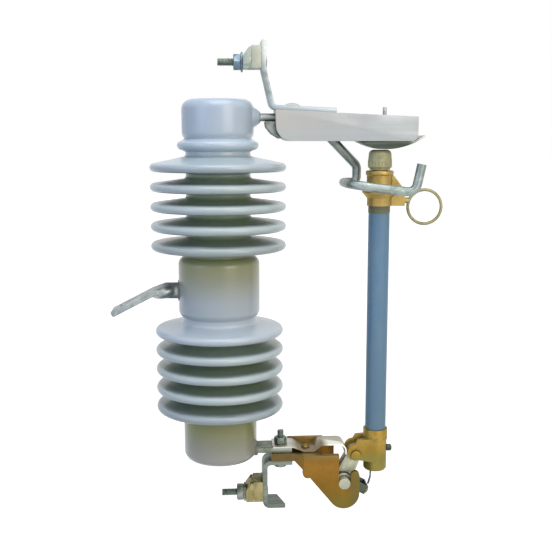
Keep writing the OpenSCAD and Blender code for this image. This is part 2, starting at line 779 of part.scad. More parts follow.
module fuse_tube() {
  low = holder_low_z + exhaust_lip;
  color("#6f8ca6") translate([tube_x, 0, low]) difference() {
    cylinder(h = ferrule_top_z - tube_seat - low, d = tube_d);
    translate([0, 0, -1]) cylinder(h = 2 * (ferrule_top_z - low), d = tube_bore);
  }
}

// A turned piece about the tube's axis, from its outline in radius and height
module turned(outline) {
  translate([tube_x, 0, 0]) rotate_extrude() polygon(outline);
}

module top_cap() {
  low = cap_top_z - cap_h;
  waist = cap_r - 1.8;
  color("#b9ab72") difference() {
    turned(concat(
      [[neck_r + seat, low], [waist, low], [waist, low + 1.6]],
      arc([waist, low + cap_skirt_z], cap_r - waist, -70, 0),
      [[cap_r, low + 0.45 * cap_h], [cap_r - 0.5, low + 0.62 * cap_h]],
      arc([cap_r - 5.6, cap_top_z - 5], 5, 15, 90),
      [[0, cap_top_z], [0, cap_top_z - cap_wall + 1.5], [neck_r + seat, cap_top_z - cap_wall + 1.5]]
    ));
    for (k = [0:cap_flutes - 1]) rotate_about_tube(360 / cap_flutes * k)
      translate([cap_r + 0.7, 0, low - 1]) cylinder(h = cap_skirt_z + 6, r = 1.1, $fn = 16);
  }
}

module rotate_about_tube(a) {
  translate([tube_x, 0, 0]) rotate([0, 0, a]) children();
}

module top_ferrule() {
  tube_r = tube_d / 2 + seat;
  lug_x = tube_x + lug_len;
  wing = [
    [tube_x, ferrule_top_z - top_flange_t], [tube_x + ferrule_r + 1, ferrule_top_z - top_flange_t],
    [tube_x + wing_hip, lug_z + wing_rise], [lug_x, lug_z + lug_h / 2], [lug_x, lug_z - lug_h / 2],
    [tube_x, lug_z - lug_h / 2]
  ];
  color("#b08a35") difference() {
    union() {
      turned(concat(
        [[0, ferrule_low_z], [ferrule_r, ferrule_low_z], [ferrule_r, skirt_z - skirt_h]],
        arc([skirt_d / 2 - skirt_rim, skirt_z], skirt_rim, -60, 60),
        [[ferrule_r + 0.4, skirt_z + skirt_h], [ferrule_r + 0.4, ferrule_top_z - top_flange_t],
         [ferrule_r + 1.6, ferrule_top_z - top_flange_t + 1], [ferrule_r + 1.6, ferrule_top_z - 1],
         [ferrule_r + 0.6, ferrule_top_z], [neck_r, ferrule_top_z],
         [neck_r, neck_top_z], [0, neck_top_z]]
      ));
      plate(wing, lug_w);
    }
    translate([tube_x, 0, ferrule_low_z - 1]) cylinder(h = ferrule_top_z - tube_seat - ferrule_low_z + 1, r = tube_r);
    translate([tube_x, 0, ferrule_low_z]) cylinder(h = 2 * cap_top_z, r = neck_bore_r);
    bar_x(stem_x, lug_x + 1, stem_r + seat, 0, lug_z);
  }
}

module pull_ring() {
  run = sqrt(pow(ring_d / 2 - ring_wire / 2, 2) - pow(lug_z - ring_z, 2));
  color("#b7a76a") {
    translate([ring_x, 0, ring_z]) rotate([90, 0, 0]) rotate_extrude()
      translate([ring_d / 2 - ring_wire / 2, 0]) circle(d = ring_wire, $fn = 32);
    bar_x(stem_x, ring_x - run, stem_r, 0, lug_z);
  }
}

module bottom_ferrule() {
  arm = concat(
    arc([toggle_x, toggle_z + 2.5], arm_r, 90, 230),
    [[tube_x, toggle_z - arm_low], [tube_x, toggle_z + arm_high], [toggle_x + 3, toggle_z + arm_high - 1]]
  );
  screw_z = holder_low_z + screw_up;
  color("#b3882f") difference() {
    union() {
      turned([
        [0, holder_low_z], [body_r - 1.5, holder_low_z], [body_r, holder_low_z + 2],
        [body_r, sleeve_top_z - sleeve_h - 1], [sleeve_r, sleeve_top_z - sleeve_h],
        [sleeve_r, sleeve_top_z], [0, sleeve_top_z]
      ]);
      for (side = [-1, 1]) translate([0, side * (prong_in + prong_t / 2), 0]) plate(arm, prong_t);
    }
    translate([tube_x, 0, holder_low_z - 1]) cylinder(h = 2 * exhaust_lip, d = tube_bore);
    translate([tube_x, 0, holder_low_z + exhaust_lip])
      cylinder(h = sleeve_top_z - holder_low_z, r = tube_d / 2 + seat);
    bar_y(-prong_out - 1, prong_out + 1, toggle_pin_r + seat, toggle_x, toggle_z);
    bar_x(tube_x + tube_d / 2, tube_x + sleeve_r + 1, screw_r + seat, 0, screw_z);
  }
}

module ferrule_screw() {
  screw_z = holder_low_z + screw_up;
  color("#5a5a3c") {
    bar_x(tube_x + tube_d / 2 + 0.1, tube_x + body_r + 1, screw_r, 0, screw_z);
    bar_x(tube_x + body_r + 0.4, tube_x + body_r + 6, screw_head_r, 0, screw_z);
  }
}

module toggle_pin() {
  color("#8d7335") {
    bar_y(-prong_out - 2, prong_out + 2, toggle_pin_r, toggle_x, toggle_z);
    bar_y(-prong_out - 3, -prong_out, toggle_pin_r + 1.8, toggle_x, toggle_z);
    bar_y(prong_out, prong_out + 3, toggle_pin_r + 1.8, toggle_x, toggle_z);
  }
}

// The trunnion: two pins that hang in the hinge's hooks, and a lever up to the toggle pin
module trunnion() {
  to_eye = unit([toggle_x - hinge_x, toggle_z - hinge_z]);
  out = [-to_eye[1], to_eye[0]];
  hub = [hinge_x, hinge_z];
  eye = [toggle_x, toggle_z];
  color("#d5d7d2") difference() {
    union() {
      bar_y(-cheek_out + 0.5, cheek_out - 0.5, trunnion_r, hinge_x, hinge_z);
      bar_y(-lever_w / 2, lever_w / 2, hub_r, hinge_x, hinge_z);
      bar_y(-lever_w / 2, lever_w / 2, eye_r, toggle_x, toggle_z);
      plate([hub + hub_r * out, hub - hub_r * out, eye - eye_r * out, eye + eye_r * out], lever_w);
    }
    bar_y(-lever_w, lever_w, toggle_pin_r + seat, toggle_x, toggle_z);
  }
}

// Middle of the flipper's tab, which the fuse link's tail is fastened to
flipper_dir = [cos(flipper_fall), -sin(flipper_fall)];
flipper_up = [sin(flipper_fall), cos(flipper_fall)];
tab = [hinge_x, hinge_z] + flipper_reach * flipper_dir;

module flipper() {
  hub = [hinge_x, hinge_z];
  arm = [hub + 5 * flipper_up, hub - 5 * flipper_up, tab - tab_h / 2 * flipper_up, tab + tab_h / 2 * flipper_up];
  color("#7f8f80") difference() {
    union() {
      for (side = [-1, 1]) translate([0, side * (flipper_in + flipper_t / 2), 0]) {
        plate(arm, flipper_t);
        bar_y(-flipper_t / 2, flipper_t / 2, trunnion_r + 3, hinge_x, hinge_z);
      }
      plate([tab + tab_h / 2 * flipper_up - flipper_t * flipper_dir, tab - tab_h / 2 * flipper_up - flipper_t * flipper_dir,
             tab - tab_h / 2 * flipper_up, tab + tab_h / 2 * flipper_up], 2 * flipper_in + 1);
    }
    bar_y(-cheek_in, cheek_in, trunnion_r + seat, hinge_x, hinge_z);
  }
}

module flipper_spring() {
  turns = 2;
  wire = 1.8;
  first = flipper_in + flipper_t + wire / 2 + 0.3;
  pitch = (cheek_in - 1.2 - wire / 2 - first) / turns;
  steps = turns * 14;
  color("#a7adab") for (side = [-1, 1]) rod(
    [for (i = [0:steps]) let(a = 360 * turns * i / steps)
      [hinge_x + (trunnion_r + 1.3) * cos(a), side * (first + pitch * turns * i / steps), hinge_z + (trunnion_r + 1.3) * sin(a)]],
    wire / 2, [1, 0, 0], 8);
}

module tail_nut() {
  spot = tab - 0.2 * tab_h * flipper_up;
  color("#9c9a72") translate([spot[0], 0, spot[1]]) rotate([0, 90 + flipper_fall, 0]) hex(7, 4);
}

// The fuse link hangs from its button under the cap; its tail leaves the tube and is pulled to the flipper
module fuse_link() {
  anchor = tab + 0.35 * tab_h * flipper_up;
  path = rounded([
    [tube_x, 0, cap_top_z - cap_wall - 0.3], [tube_x, 0, holder_low_z + 12], [tail_x, 0, holder_low_z - 2],
    [tail_x, 0, holder_low_z - 9], [anchor[0] + link_d / 2 + 0.2, 0, anchor[1]]], [12, 6, 3], 3);
  color("#8d8f92") {
    rod(path, link_d / 2, [0, 1, 0], 8);
    translate([tube_x, 0, cap_top_z - cap_wall - 0.3]) cylinder(h = 1.5, r = neck_r - 1);
  }
}

placed() insulator();
placed() mounting_bracket();
placed() upper_stud();
placed() stud_gusset();
placed() top_channel();
placed() upper_terminal_strap();
placed() upper_clamp_block();
placed() upper_clamp_keeper();
placed() upper_clamp_bolt();
placed() upper_clamp_nut();
placed() contact_pin();
placed() contact_spring();
placed() contact_shoe();
placed() attachment_hook();
placed() lower_insert_bar();
placed() hinge_casting();
placed() hinge_bolt();
placed() hinge_bolt_nut();
placed() lower_contact_strip();
placed() lower_terminal_strap();
placed() lower_clamp_block();
placed() lower_clamp_keeper();
placed() lower_clamp_bolt();
placed() lower_clamp_nut();
placed() fuse_tube();
placed() top_cap();
placed() top_ferrule();
placed() pull_ring();
placed() bottom_ferrule();
placed() ferrule_screw();
placed() toggle_pin();
placed() trunnion();
placed() flipper();
placed() flipper_spring();
placed() fuse_link();
placed() tail_nut();
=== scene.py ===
# %% [markdown]
# # A drop-out fuse cutout
# On a real pole this is a porcelain post with a fuse tube hung beside it. The solids arrive from the CAD
# model as a fixed frame. This lesson dresses them: softer edges, real threads, springs and glaze. Nothing
# is moved, because every piece has to fit the hinge that the tube swings on.

# %% Load the frame
import json
import math
import bpy
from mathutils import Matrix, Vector

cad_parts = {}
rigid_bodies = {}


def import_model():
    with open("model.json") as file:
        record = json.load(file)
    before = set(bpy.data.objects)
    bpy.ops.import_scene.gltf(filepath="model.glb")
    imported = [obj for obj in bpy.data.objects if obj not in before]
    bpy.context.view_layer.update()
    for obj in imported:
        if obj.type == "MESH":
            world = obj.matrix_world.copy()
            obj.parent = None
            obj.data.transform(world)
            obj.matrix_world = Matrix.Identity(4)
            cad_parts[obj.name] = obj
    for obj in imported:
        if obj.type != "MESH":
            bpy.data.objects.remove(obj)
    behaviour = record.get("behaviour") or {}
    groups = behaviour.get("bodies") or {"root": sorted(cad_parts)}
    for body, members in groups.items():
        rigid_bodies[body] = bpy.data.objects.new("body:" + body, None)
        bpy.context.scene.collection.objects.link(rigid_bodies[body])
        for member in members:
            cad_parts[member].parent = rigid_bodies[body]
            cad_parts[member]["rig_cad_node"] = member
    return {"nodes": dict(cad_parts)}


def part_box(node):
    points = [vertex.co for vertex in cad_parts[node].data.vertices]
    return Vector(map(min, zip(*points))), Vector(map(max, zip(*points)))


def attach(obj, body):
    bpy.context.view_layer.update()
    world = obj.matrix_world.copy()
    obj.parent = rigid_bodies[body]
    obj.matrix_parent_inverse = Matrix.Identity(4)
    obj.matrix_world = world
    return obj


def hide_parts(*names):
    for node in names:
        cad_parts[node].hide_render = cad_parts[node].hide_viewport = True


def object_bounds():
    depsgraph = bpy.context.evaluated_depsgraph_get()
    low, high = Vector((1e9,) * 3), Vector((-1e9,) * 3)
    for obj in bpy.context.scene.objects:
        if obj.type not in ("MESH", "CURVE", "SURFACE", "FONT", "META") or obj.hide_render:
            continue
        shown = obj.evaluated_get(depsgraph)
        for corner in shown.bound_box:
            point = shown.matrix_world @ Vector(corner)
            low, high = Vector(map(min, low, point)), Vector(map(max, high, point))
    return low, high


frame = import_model()
cad_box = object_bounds()
print("nodes in the frame:", len(frame["nodes"]))

# %% [markdown]
# Lengths are easiest to think of in millimetres from the insulator's own axis, at about the height of its
# bracket. Blender works in metres in the CAD frame, so one function turns the first into the second. The
# insulator's box gives the axis, because its widest shed is 139 mm across. Heights on the porcelain itself
# are counted from the bracket's middle, which lies 2.2 mm higher and 181 mm above the end of the foot.

# %% Places on the object
MM = 0.001
FIXED = "cutout_frame"
HOLDER = "fuse_holder"
WIDEST_SHED_R = 69.5
FOOT_Z = -181
BRACKET_Z = 2.2
TUBE_X = 167
insulator_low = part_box("insulator")[0]
AXIS_X = insulator_low.x + WIDEST_SHED_R * MM
LEVEL_Z = insulator_low.z - (FOOT_Z + BRACKET_Z) * MM


def at(x, y, z):
    """A place given in millimetres from the insulator's axis, in the frame's metres."""
    return Vector((AXIS_X + x * MM, y * MM, LEVEL_Z + z * MM))


print("insulator axis at x =", round(AXIS_X, 4), "level at z =", round(LEVEL_Z, 4))

# %% [markdown]
# The photograph was taken from slightly above, nearly square to the side, from less than a metre away: the
# lower sheds show more of their tops than the upper ones. A longer lens further off would flatten that.
# The camera therefore stands 0.91 m from the middle of the picture, 9 degrees up and 4 degrees round.

# %% Camera
CAMERA_FAR = 913
CAMERA_UP = math.radians(8.7)
CAMERA_ROUND = math.radians(4.0)
LENS_LENGTH = 56.95
picture_middle = at(59.3, 0, 16.1)
back = Vector((-math.sin(CAMERA_ROUND) * math.cos(CAMERA_UP), -math.cos(CAMERA_ROUND) * math.cos(CAMERA_UP),
               math.sin(CAMERA_UP)))
bpy.ops.object.select_all(action="DESELECT")
bpy.ops.object.camera_add(location=picture_middle + CAMERA_FAR * MM * back,
                          rotation=(math.pi / 2 - CAMERA_UP, 0, -CAMERA_ROUND))
camera = bpy.context.object
camera.name = "photo_camera"
camera.data.sensor_width = 36
camera.data.lens = LENS_LENGTH
camera.data.clip_start = 0.01
bpy.context.scene.camera = camera
print("camera at", [round(v, 3) for v in camera.location])

# %% [markdown]
# A few small tools save typing. One adds a primitive or a lamp with nothing else selected, and names it. One
# selects a single piece, as a click would, and one opens it in edit mode with all of it selected. One picks
# faces by where they are, since a script can't point with a mouse. One puts a piece's place and turn into
# its mesh, and one applies a modifier. The last one hands a finished piece over: it welds doubles, turns the
# faces outwards, smooths what is round, gives the piece its finish and hangs it on its body.

# %% Tools for working by hand
SAME_POINT = 1e-6


def added(operator, name, **settings):
    """Runs one of the add operators with nothing else selected, and names what it made."""
    bpy.ops.object.select_all(action="DESELECT")
    operator(**settings)
    bpy.context.object.name = name
    return bpy.context.object


def only(piece):
    """Leaves edit mode and selects this piece alone."""
    if bpy.context.mode != "OBJECT":
        bpy.ops.object.mode_set(mode="OBJECT")
    bpy.ops.object.select_all(action="DESELECT")
    piece.select_set(True)
    bpy.context.view_layer.objects.active = piece


def edit_all(piece):
    """Opens this piece alone in edit mode, with everything in it selected."""
    only(piece)
    bpy.ops.object.mode_set(mode="EDIT")
    bpy.ops.mesh.select_all(action="SELECT")


def pick_faces(piece, test):
    """Opens this piece with those faces selected that pass a test of their middle and facing."""
    edit_all(piece)
    bpy.ops.mesh.select_mode(type="FACE")
    bpy.ops.mesh.select_all(action="DESELECT")
    bpy.ops.object.mode_set(mode="OBJECT")
    for face in piece.data.polygons:
        face.select = test(face.center, face.normal)
    bpy.ops.object.mode_set(mode="EDIT")


def settle(piece):
    """Puts a piece's place, turn and scale into its mesh."""
    only(piece)
    bpy.ops.object.transform_apply(location=True, rotation=True, scale=True)


def apply_modifier(piece, kind, **settings):
    """Adds one modifier, sets it and applies it."""
    only(piece)
    modifier = piece.modifiers.new(kind.lower(), kind)
    for name, value in settings.items():
        setattr(modifier, name, value)
    bpy.ops.object.modifier_apply(modifier=modifier.name)


def hand_over(piece, body, finish, slot, *nodes, angle=35):
    """Cleans a piece's mesh, smooths it, paints it and hangs it on its body."""
    settle(piece)
    edit_all(piece)
    bpy.ops.mesh.remove_doubles(threshold=SAME_POINT)
    bpy.ops.mesh.normals_make_consistent(inside=False)
    bpy.ops.object.mode_set(mode="OBJECT")
    bpy.ops.object.shade_smooth_by_angle(angle=math.radians(angle))
    piece.data.materials.clear()
    piece.data.materials.append(finish)
    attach(piece, body)
    if nodes:
        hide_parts(*nodes)
    print("made", piece.name, "with", len(piece.data.polygons), "faces")
    return piece


print("points closer than", SAME_POINT / MM, "mm are welded")

# %% [markdown]
# Bolts, nuts and turned parts are easiest to make upright at the origin and then carried to their place, as
# from a bench. Standing one up on its base along a direction, and joining parts into one, are two moves that
# come back all the time.

# %% Tools for placing


def stand(piece, base, along):
    """Stands a piece that was made upright at the origin on a base, pointing along a direction."""
    piece.rotation_euler = Vector(along).to_track_quat("Z", "Y").to_euler()
    piece.location = base
    settle(piece)
    return piece


def joined(piece, *others):
    """One piece made of several."""
    only(piece)
    for other in others:
        other.select_set(True)
    bpy.ops.object.join()
    return bpy.context.object


lying = Vector((1, 0, 0)).to_track_quat("Z", "Y").to_euler()
print("a piece stood along x is turned by", [round(math.degrees(turn)) for turn in lying], "degrees")

# %% [markdown]
# ## Finishes
# Every finish starts from the real material. Colours are written as hex values, as a paint chart has them,
# and one function turns them into the linear numbers that the renderer adds up. A Mix node carries sockets
# for numbers, vectors and colours side by side. For colours, inputs 6 and 7 are the two that it mixes, and
# output 2 is the result.

# %% Tools for finishes


def tint(code):
    """A colour from its sRGB hex value, in linear numbers."""
    parts = [int(code[i:i + 2], 16) / 255 for i in (1, 3, 5)]
    return tuple(p / 12.92 if p <= 0.04045 else ((p + 0.055) / 1.055) ** 2.4 for p in parts) + (1.0,)


def add(tree, kind, sockets=None, **settings):
    """Adds one node with its settings, and sets or links its sockets."""
    made = tree.nodes.new(kind)
    for name, value in settings.items():
        setattr(made, name, value)
    for name, value in (sockets or {}).items():
        if isinstance(value, bpy.types.NodeSocket):
            tree.links.new(value, made.inputs[name])
        else:
            made.inputs[name].default_value = value
    return made


def emptied(owner):
    """The node tree of a material or a world, switched on and with nothing in it."""
    owner.use_nodes = True
    owner.node_tree.nodes.clear()
    return owner.node_tree


def new_finish(name, **shader_values):
    """A new material with its shader, whose constant values go straight on the shader's sockets."""
    material = bpy.data.materials.new(name)
    tree = emptied(material)
    shader = add(tree, "ShaderNodeBsdfPrincipled",
                 {key.replace("_", " "): value for key, value in shader_values.items()})
    add(tree, "ShaderNodeOutputMaterial", {"Surface": shader.outputs["BSDF"]})
    place = add(tree, "ShaderNodeTexCoord").outputs["Object"]
    return material, tree, shader, place


def surface(tree, shader, colour, roughness, height, strength, depth):
    """Gives a shader its colour, its roughness and a relief of this depth in millimetres."""
    relief = add(tree, "ShaderNodeBump", {"Height": height, "Strength": strength, "Distance": depth * MM})
    tree.links.new(colour, shader.inputs["Base Color"])
    tree.links.new(roughness, shader.inputs["Roughness"])
    tree.links.new(relief.outputs[0], shader.inputs["Normal"])


print("middle grey in linear numbers:", [round(v, 3) for v in tint("#808080")])

# %% [markdown]
# ### Porcelain
# The insulator is wet-process porcelain under a fired glaze. The glaze is glass: smooth, with a faint
# waviness from the dipping. It runs while it melts, so it is pale where it thins out over the sheds' rims.
# Two colour ramps give its colour, and they carry painted light and shade too: the deep greens and olives
# near the core, under and between the sheds, are painted shade with a painted green reflection, and the
# paler top face of the lower group's top shed is painted light. One ramp runs outwards from the axis and
# holds for the two groups of sheds. The other runs up the axis and holds for foot, barrel and head, and for
# the top shed of each group. Its alpha lets the first one through at the other sheds, but only by half at
# the lowest one of each group, which is duller.

# %% Glazed porcelain
HEAD_Z = 195


def glaze_and_shade_ramp(tree, length, *stops):
    """Glaze colours and painted shade along a length; a stop is a place in millimetres, a colour and an
    alpha.
    """
    start, end = stops[0][0], stops[-1][0]
    share = add(tree, "ShaderNodeMapRange", {"Value": length, "From Min": start * MM, "From Max": end * MM})
    made = add(tree, "ShaderNodeValToRGB", {0: share.outputs[0]})
    for stop in stops[1:-1]:
        made.color_ramp.elements.new((stop[0] - start) / (end - start))
    for element, (_, code, alpha) in zip(made.color_ramp.elements, stops):
        element.color = tint(code)[:3] + (alpha,)
    return made


porcelain, tree, shader, place = new_finish("glazed_porcelain", IOR=1.5, Coat_Weight=0.25,
                                            Coat_Roughness=0.15)
from_axis = add(tree, "ShaderNodeMapping",
                {"Vector": place, "Location": (-AXIS_X, 0, -LEVEL_Z - BRACKET_Z * MM)})
clouds = add(tree, "ShaderNodeTexNoise", {"Vector": place, "Scale": 1 / (45 * MM), "Detail": 3.0})
wobble = add(tree, "ShaderNodeMapRange", {"Value": clouds.outputs[0], "To Min": -4 * MM, "To Max": 4 * MM})
split = add(tree, "ShaderNodeSeparateXYZ", {0: from_axis.outputs[0]})
flat = add(tree, "ShaderNodeCombineXYZ", {0: split.outputs[0], 1: split.outputs[1]})
radius = add(tree, "ShaderNodeVectorMath", {0: flat.outputs[0]}, operation="LENGTH")
outwards = add(tree, "ShaderNodeMath", {0: radius.outputs["Value"], 1: wobble.outputs[0]}, operation="ADD")
upwards = add(tree, "ShaderNodeMath", {0: split.outputs[2], 1: wobble.outputs[0]}, operation="ADD")
# Painted shade: the deep greens and olives near the core, under and between the sheds, stand for their shade
# and a green reflection.
sheds = glaze_and_shade_ramp(tree, outwards.outputs[0], (33, "#A3B598", 1), (46, "#92A38C", 1), (57, "#7B8B7A", 1),
                   (60.5, "#8B968F", 1), (64, "#B8C4C3", 1), (70, "#BAC6C5", 1))
rest = glaze_and_shade_ramp(tree, upwards.outputs[0],
                  # Foot
                  (FOOT_Z, "#B6B3AC", 1), (-160, "#A0A08B", 1), (-142, "#919259", 1), (-134, "#8A8D54", 1),
                  (-130, "#8A8D54", 0),
                  # Lowest shed of the lower group
                  (-127, "#8C979C", 0.5), (-118, "#8C979C", 0.5), (-115, "#8C979C", 0),
                  # Top shed of the lower group, and barrel
                  (-52, "#C2CCD3", 0), (-47, "#C2CCD3", 1), (-30, "#BFC9D0", 1), (-22, "#B2BCC1", 1),
                  (-8, "#B2BBBF", 1), (6, "#ABB0A4", 1), (18, "#A1A284", 1), (27, "#9B9D74", 1),
                  (37, "#A3A878", 1), (40, "#A3A878", 0),
                  # Lowest shed of the upper group
                  (42, "#939E9C", 0.5), (51, "#939E9C", 0.5), (54, "#939E9C", 0),
                  # Top shed of the upper group, rib and head
                  (117, "#AEBBBE", 0), (122, "#AEBBBE", 1), (136, "#B2BEC3", 1), (148, "#BFCCD5", 1),
                  (156, "#BAC7D1", 1), (HEAD_Z, "#B6C3D0", 1))
glaze_and_shade = add(tree, "ShaderNodeMix", {0: rest.outputs["Alpha"], 6: sheds.outputs[0], 7: rest.outputs[0]},
            data_type="RGBA")
mottle = add(tree, "ShaderNodeMapRange", {"Value": clouds.outputs[0], "To Min": 0.88, "To Max": 1.1})
glaze_and_shade = add(tree, "ShaderNodeMix", {0: 1.0, 6: glaze_and_shade.outputs[2], 7: mottle.outputs[0]}, data_type="RGBA",
            blend_type="MULTIPLY")
specks = add(tree, "ShaderNodeTexVoronoi", {"Vector": place, "Scale": 1 / (7 * MM)})
speck = add(tree, "ShaderNodeMapRange",
            {"Value": specks.outputs["Distance"], "From Min": 0.05, "From Max": 0.09,
             "To Min": 0.3, "To Max": 0.0})
glaze_and_shade = add(tree, "ShaderNodeMix", {0: speck.outputs[0], 6: glaze_and_shade.outputs[2], 7: tint("#6E6A5C")},
            data_type="RGBA")
dull = add(tree, "ShaderNodeMapRange", {"Value": clouds.outputs[0], "To Min": 0.24, "To Max": 0.36})
waves = add(tree, "ShaderNodeTexNoise", {"Vector": place, "Scale": 1 / (18 * MM), "Detail": 1.0})
surface(tree, shader, glaze_and_shade.outputs[2], dull.outputs[0], waves.outputs[0], strength=0.1, depth=0.3)
print("finish:", porcelain.name)

# %% [markdown]
# ### Steel
# The bracket, hook, bolts and nuts are hot-dip galvanised: zinc that froze in crystals about 7 mm across, the
# spangle, and then dulled outdoors. The channel and the upper strap are newer and brighter, with the faint
# long streaks of rolled sheet. The contact shoe and the flipper are satin strip, dark with painted shade.
# The contact coil is bright wire, and the flipper's coils are pale, less metallic wire, which is painted
# light where the hinge's cheeks shade them.

# %% Galvanised, plated and spring steel


def zinc(name, dark, light, roughest):
    """Hot-dip zinc: spangle cells that differ in tone and gloss, under patches of dull white bloom."""
    material, tree, shader, place = new_finish(name, Metallic=0.9)
    cells = add(tree, "ShaderNodeTexVoronoi", {"Vector": place, "Scale": 1 / (7 * MM), "Randomness": 1.0})
    tone = add(tree, "ShaderNodeSeparateColor", {0: cells.outputs["Color"]})
    bloom = add(tree, "ShaderNodeTexNoise", {"Vector": place, "Scale": 1 / (22 * MM), "Detail": 5.0})
    bloom_edge = add(tree, "ShaderNodeMapRange",
                     {"Value": bloom.outputs[0], "From Min": 0.52, "From Max": 0.68, "To Max": 0.6})
    colour = add(tree, "ShaderNodeMix", {0: tone.outputs[0], 6: tint(dark), 7: tint(light)}, data_type="RGBA")
    colour = add(tree, "ShaderNodeMix", {0: bloom_edge.outputs[0], 6: colour.outputs[2], 7: tint("#B9BDB9")},
                 data_type="RGBA")
    rough = add(tree, "ShaderNodeMapRange",
                {"Value": tone.outputs[1], "To Min": roughest - 0.16, "To Max": roughest})
    grain = add(tree, "ShaderNodeTexNoise", {"Vector": place, "Scale": 1 / (2.5 * MM), "Detail": 4.0})
    surface(tree, shader, colour.outputs[2], rough.outputs[0], grain.outputs[0], strength=0.2, depth=0.3)
    print("finish:", name)
    return material


def rolled(name, dark, light, roughness, metallic):
    """Rolled sheet: streaks along its length, and soft smears from handling."""
    material, tree, shader, place = new_finish(name, Metallic=metallic)
    along = add(tree, "ShaderNodeMapping", {"Vector": place, "Scale": (0.04, 1, 1)})
    streaks = add(tree, "ShaderNodeTexNoise",
                  {"Vector": along.outputs[0], "Scale": 1 / (5 * MM), "Detail": 4.0})
    smears = add(tree, "ShaderNodeTexNoise", {"Vector": place, "Scale": 1 / (40 * MM), "Detail": 3.0})
    both = add(tree, "ShaderNodeMath", {0: streaks.outputs[0], 1: smears.outputs[0]}, operation="ADD")
    spread = add(tree, "ShaderNodeMapRange", {"Value": both.outputs[0], "From Min": 0.75, "From Max": 1.25})
    colour = add(tree, "ShaderNodeMix", {0: spread.outputs[0], 6: tint(dark), 7: tint(light)},
                 data_type="RGBA")
    rough = add(tree, "ShaderNodeMapRange", {"Value": both.outputs[0], "From Min": 0.7, "From Max": 1.3,
                                             "To Min": roughness + 0.1, "To Max": roughness - 0.06})
    surface(tree, shader, colour.outputs[2], rough.outputs[0], streaks.outputs[0], strength=0.12, depth=0.2)
    print("finish:", name)
    return material


galvanised = zinc("hot_dip_galvanised_steel", "#858D8E", "#A2A9A9", roughest=0.55)
hook_zinc = zinc("forged_galvanised_rod", "#7D8884", "#99A49F", roughest=0.52)
dull_bolt = zinc("weathered_zinc_bolt", "#727D74", "#919C90", roughest=0.58)
# Painted shade: the gusset's dark zinc stands for the shade under the stud.
gusset_shade_zinc = zinc("painted_shade_zinc_gusset", "#565F58", "#737C72", roughest=0.6)
keeper_zinc = zinc("dull_galvanised_keeper", "#86928B", "#A0AAA1", roughest=0.6)
nut_zinc = zinc("bluish_zinc_nut", "#5F707C", "#7B8C97", roughest=0.56)
# Painted shade: the lower clamp's nut is darkened for the foot's shade over it.
shaded_nut_zinc = zinc("painted_shade_zinc_nut", "#5C6354", "#757B6B", roughest=0.6)
bar_zinc = zinc("weathered_insert_bar", "#697060", "#7F8573", roughest=0.58)
black_steel = zinc("blackened_steel_screw", "#3E423A", "#565A50", roughest=0.6)
plated = rolled("zinc_plated_sheet", "#A1A7A9", "#B6BABB", roughness=0.46, metallic=0.35)
strap_zinc = rolled("zinc_plated_strap", "#84908F", "#A2ABAC", roughness=0.46, metallic=0.7)
# Painted shade: the lower strap's green-grey stands for its shade and a green reflection.
shaded_strap_zinc = rolled("painted_shade_zinc_strap", "#6C756B", "#8B9387", roughness=0.5, metallic=0.7)
# Painted shade: the dark satin of shoe and flipper stands for their shade.
shaded_spring_satin = rolled("shaded_satin_spring_steel", "#434A42", "#5C6359", roughness=0.4, metallic=0.9)
spring_wire = rolled("bright_spring_wire", "#A9ADA9", "#C6C9C5", roughness=0.36, metallic=0.9)
# Painted light: the flipper's coils are pale and less metallic so they look lit where the cheeks shade them.
lit_flipper_wire = rolled("painted_light_spring_wire", "#B4B6A2", "#C9CBB8", roughness=0.5, metallic=0.3)

# %% [markdown]
# ### Bronze, brass and silver
# The ferrules and the hinge are sand-cast bronze, which leaves a fine grain on the skin. Handling keeps
# it golden where it rubs, and air turns it brown and olive where it doesn't. The cap and ring are paler
# brass. The contact strip is silvered and the trunnion is tinned, so both are pale.

# %% Cast copper alloys


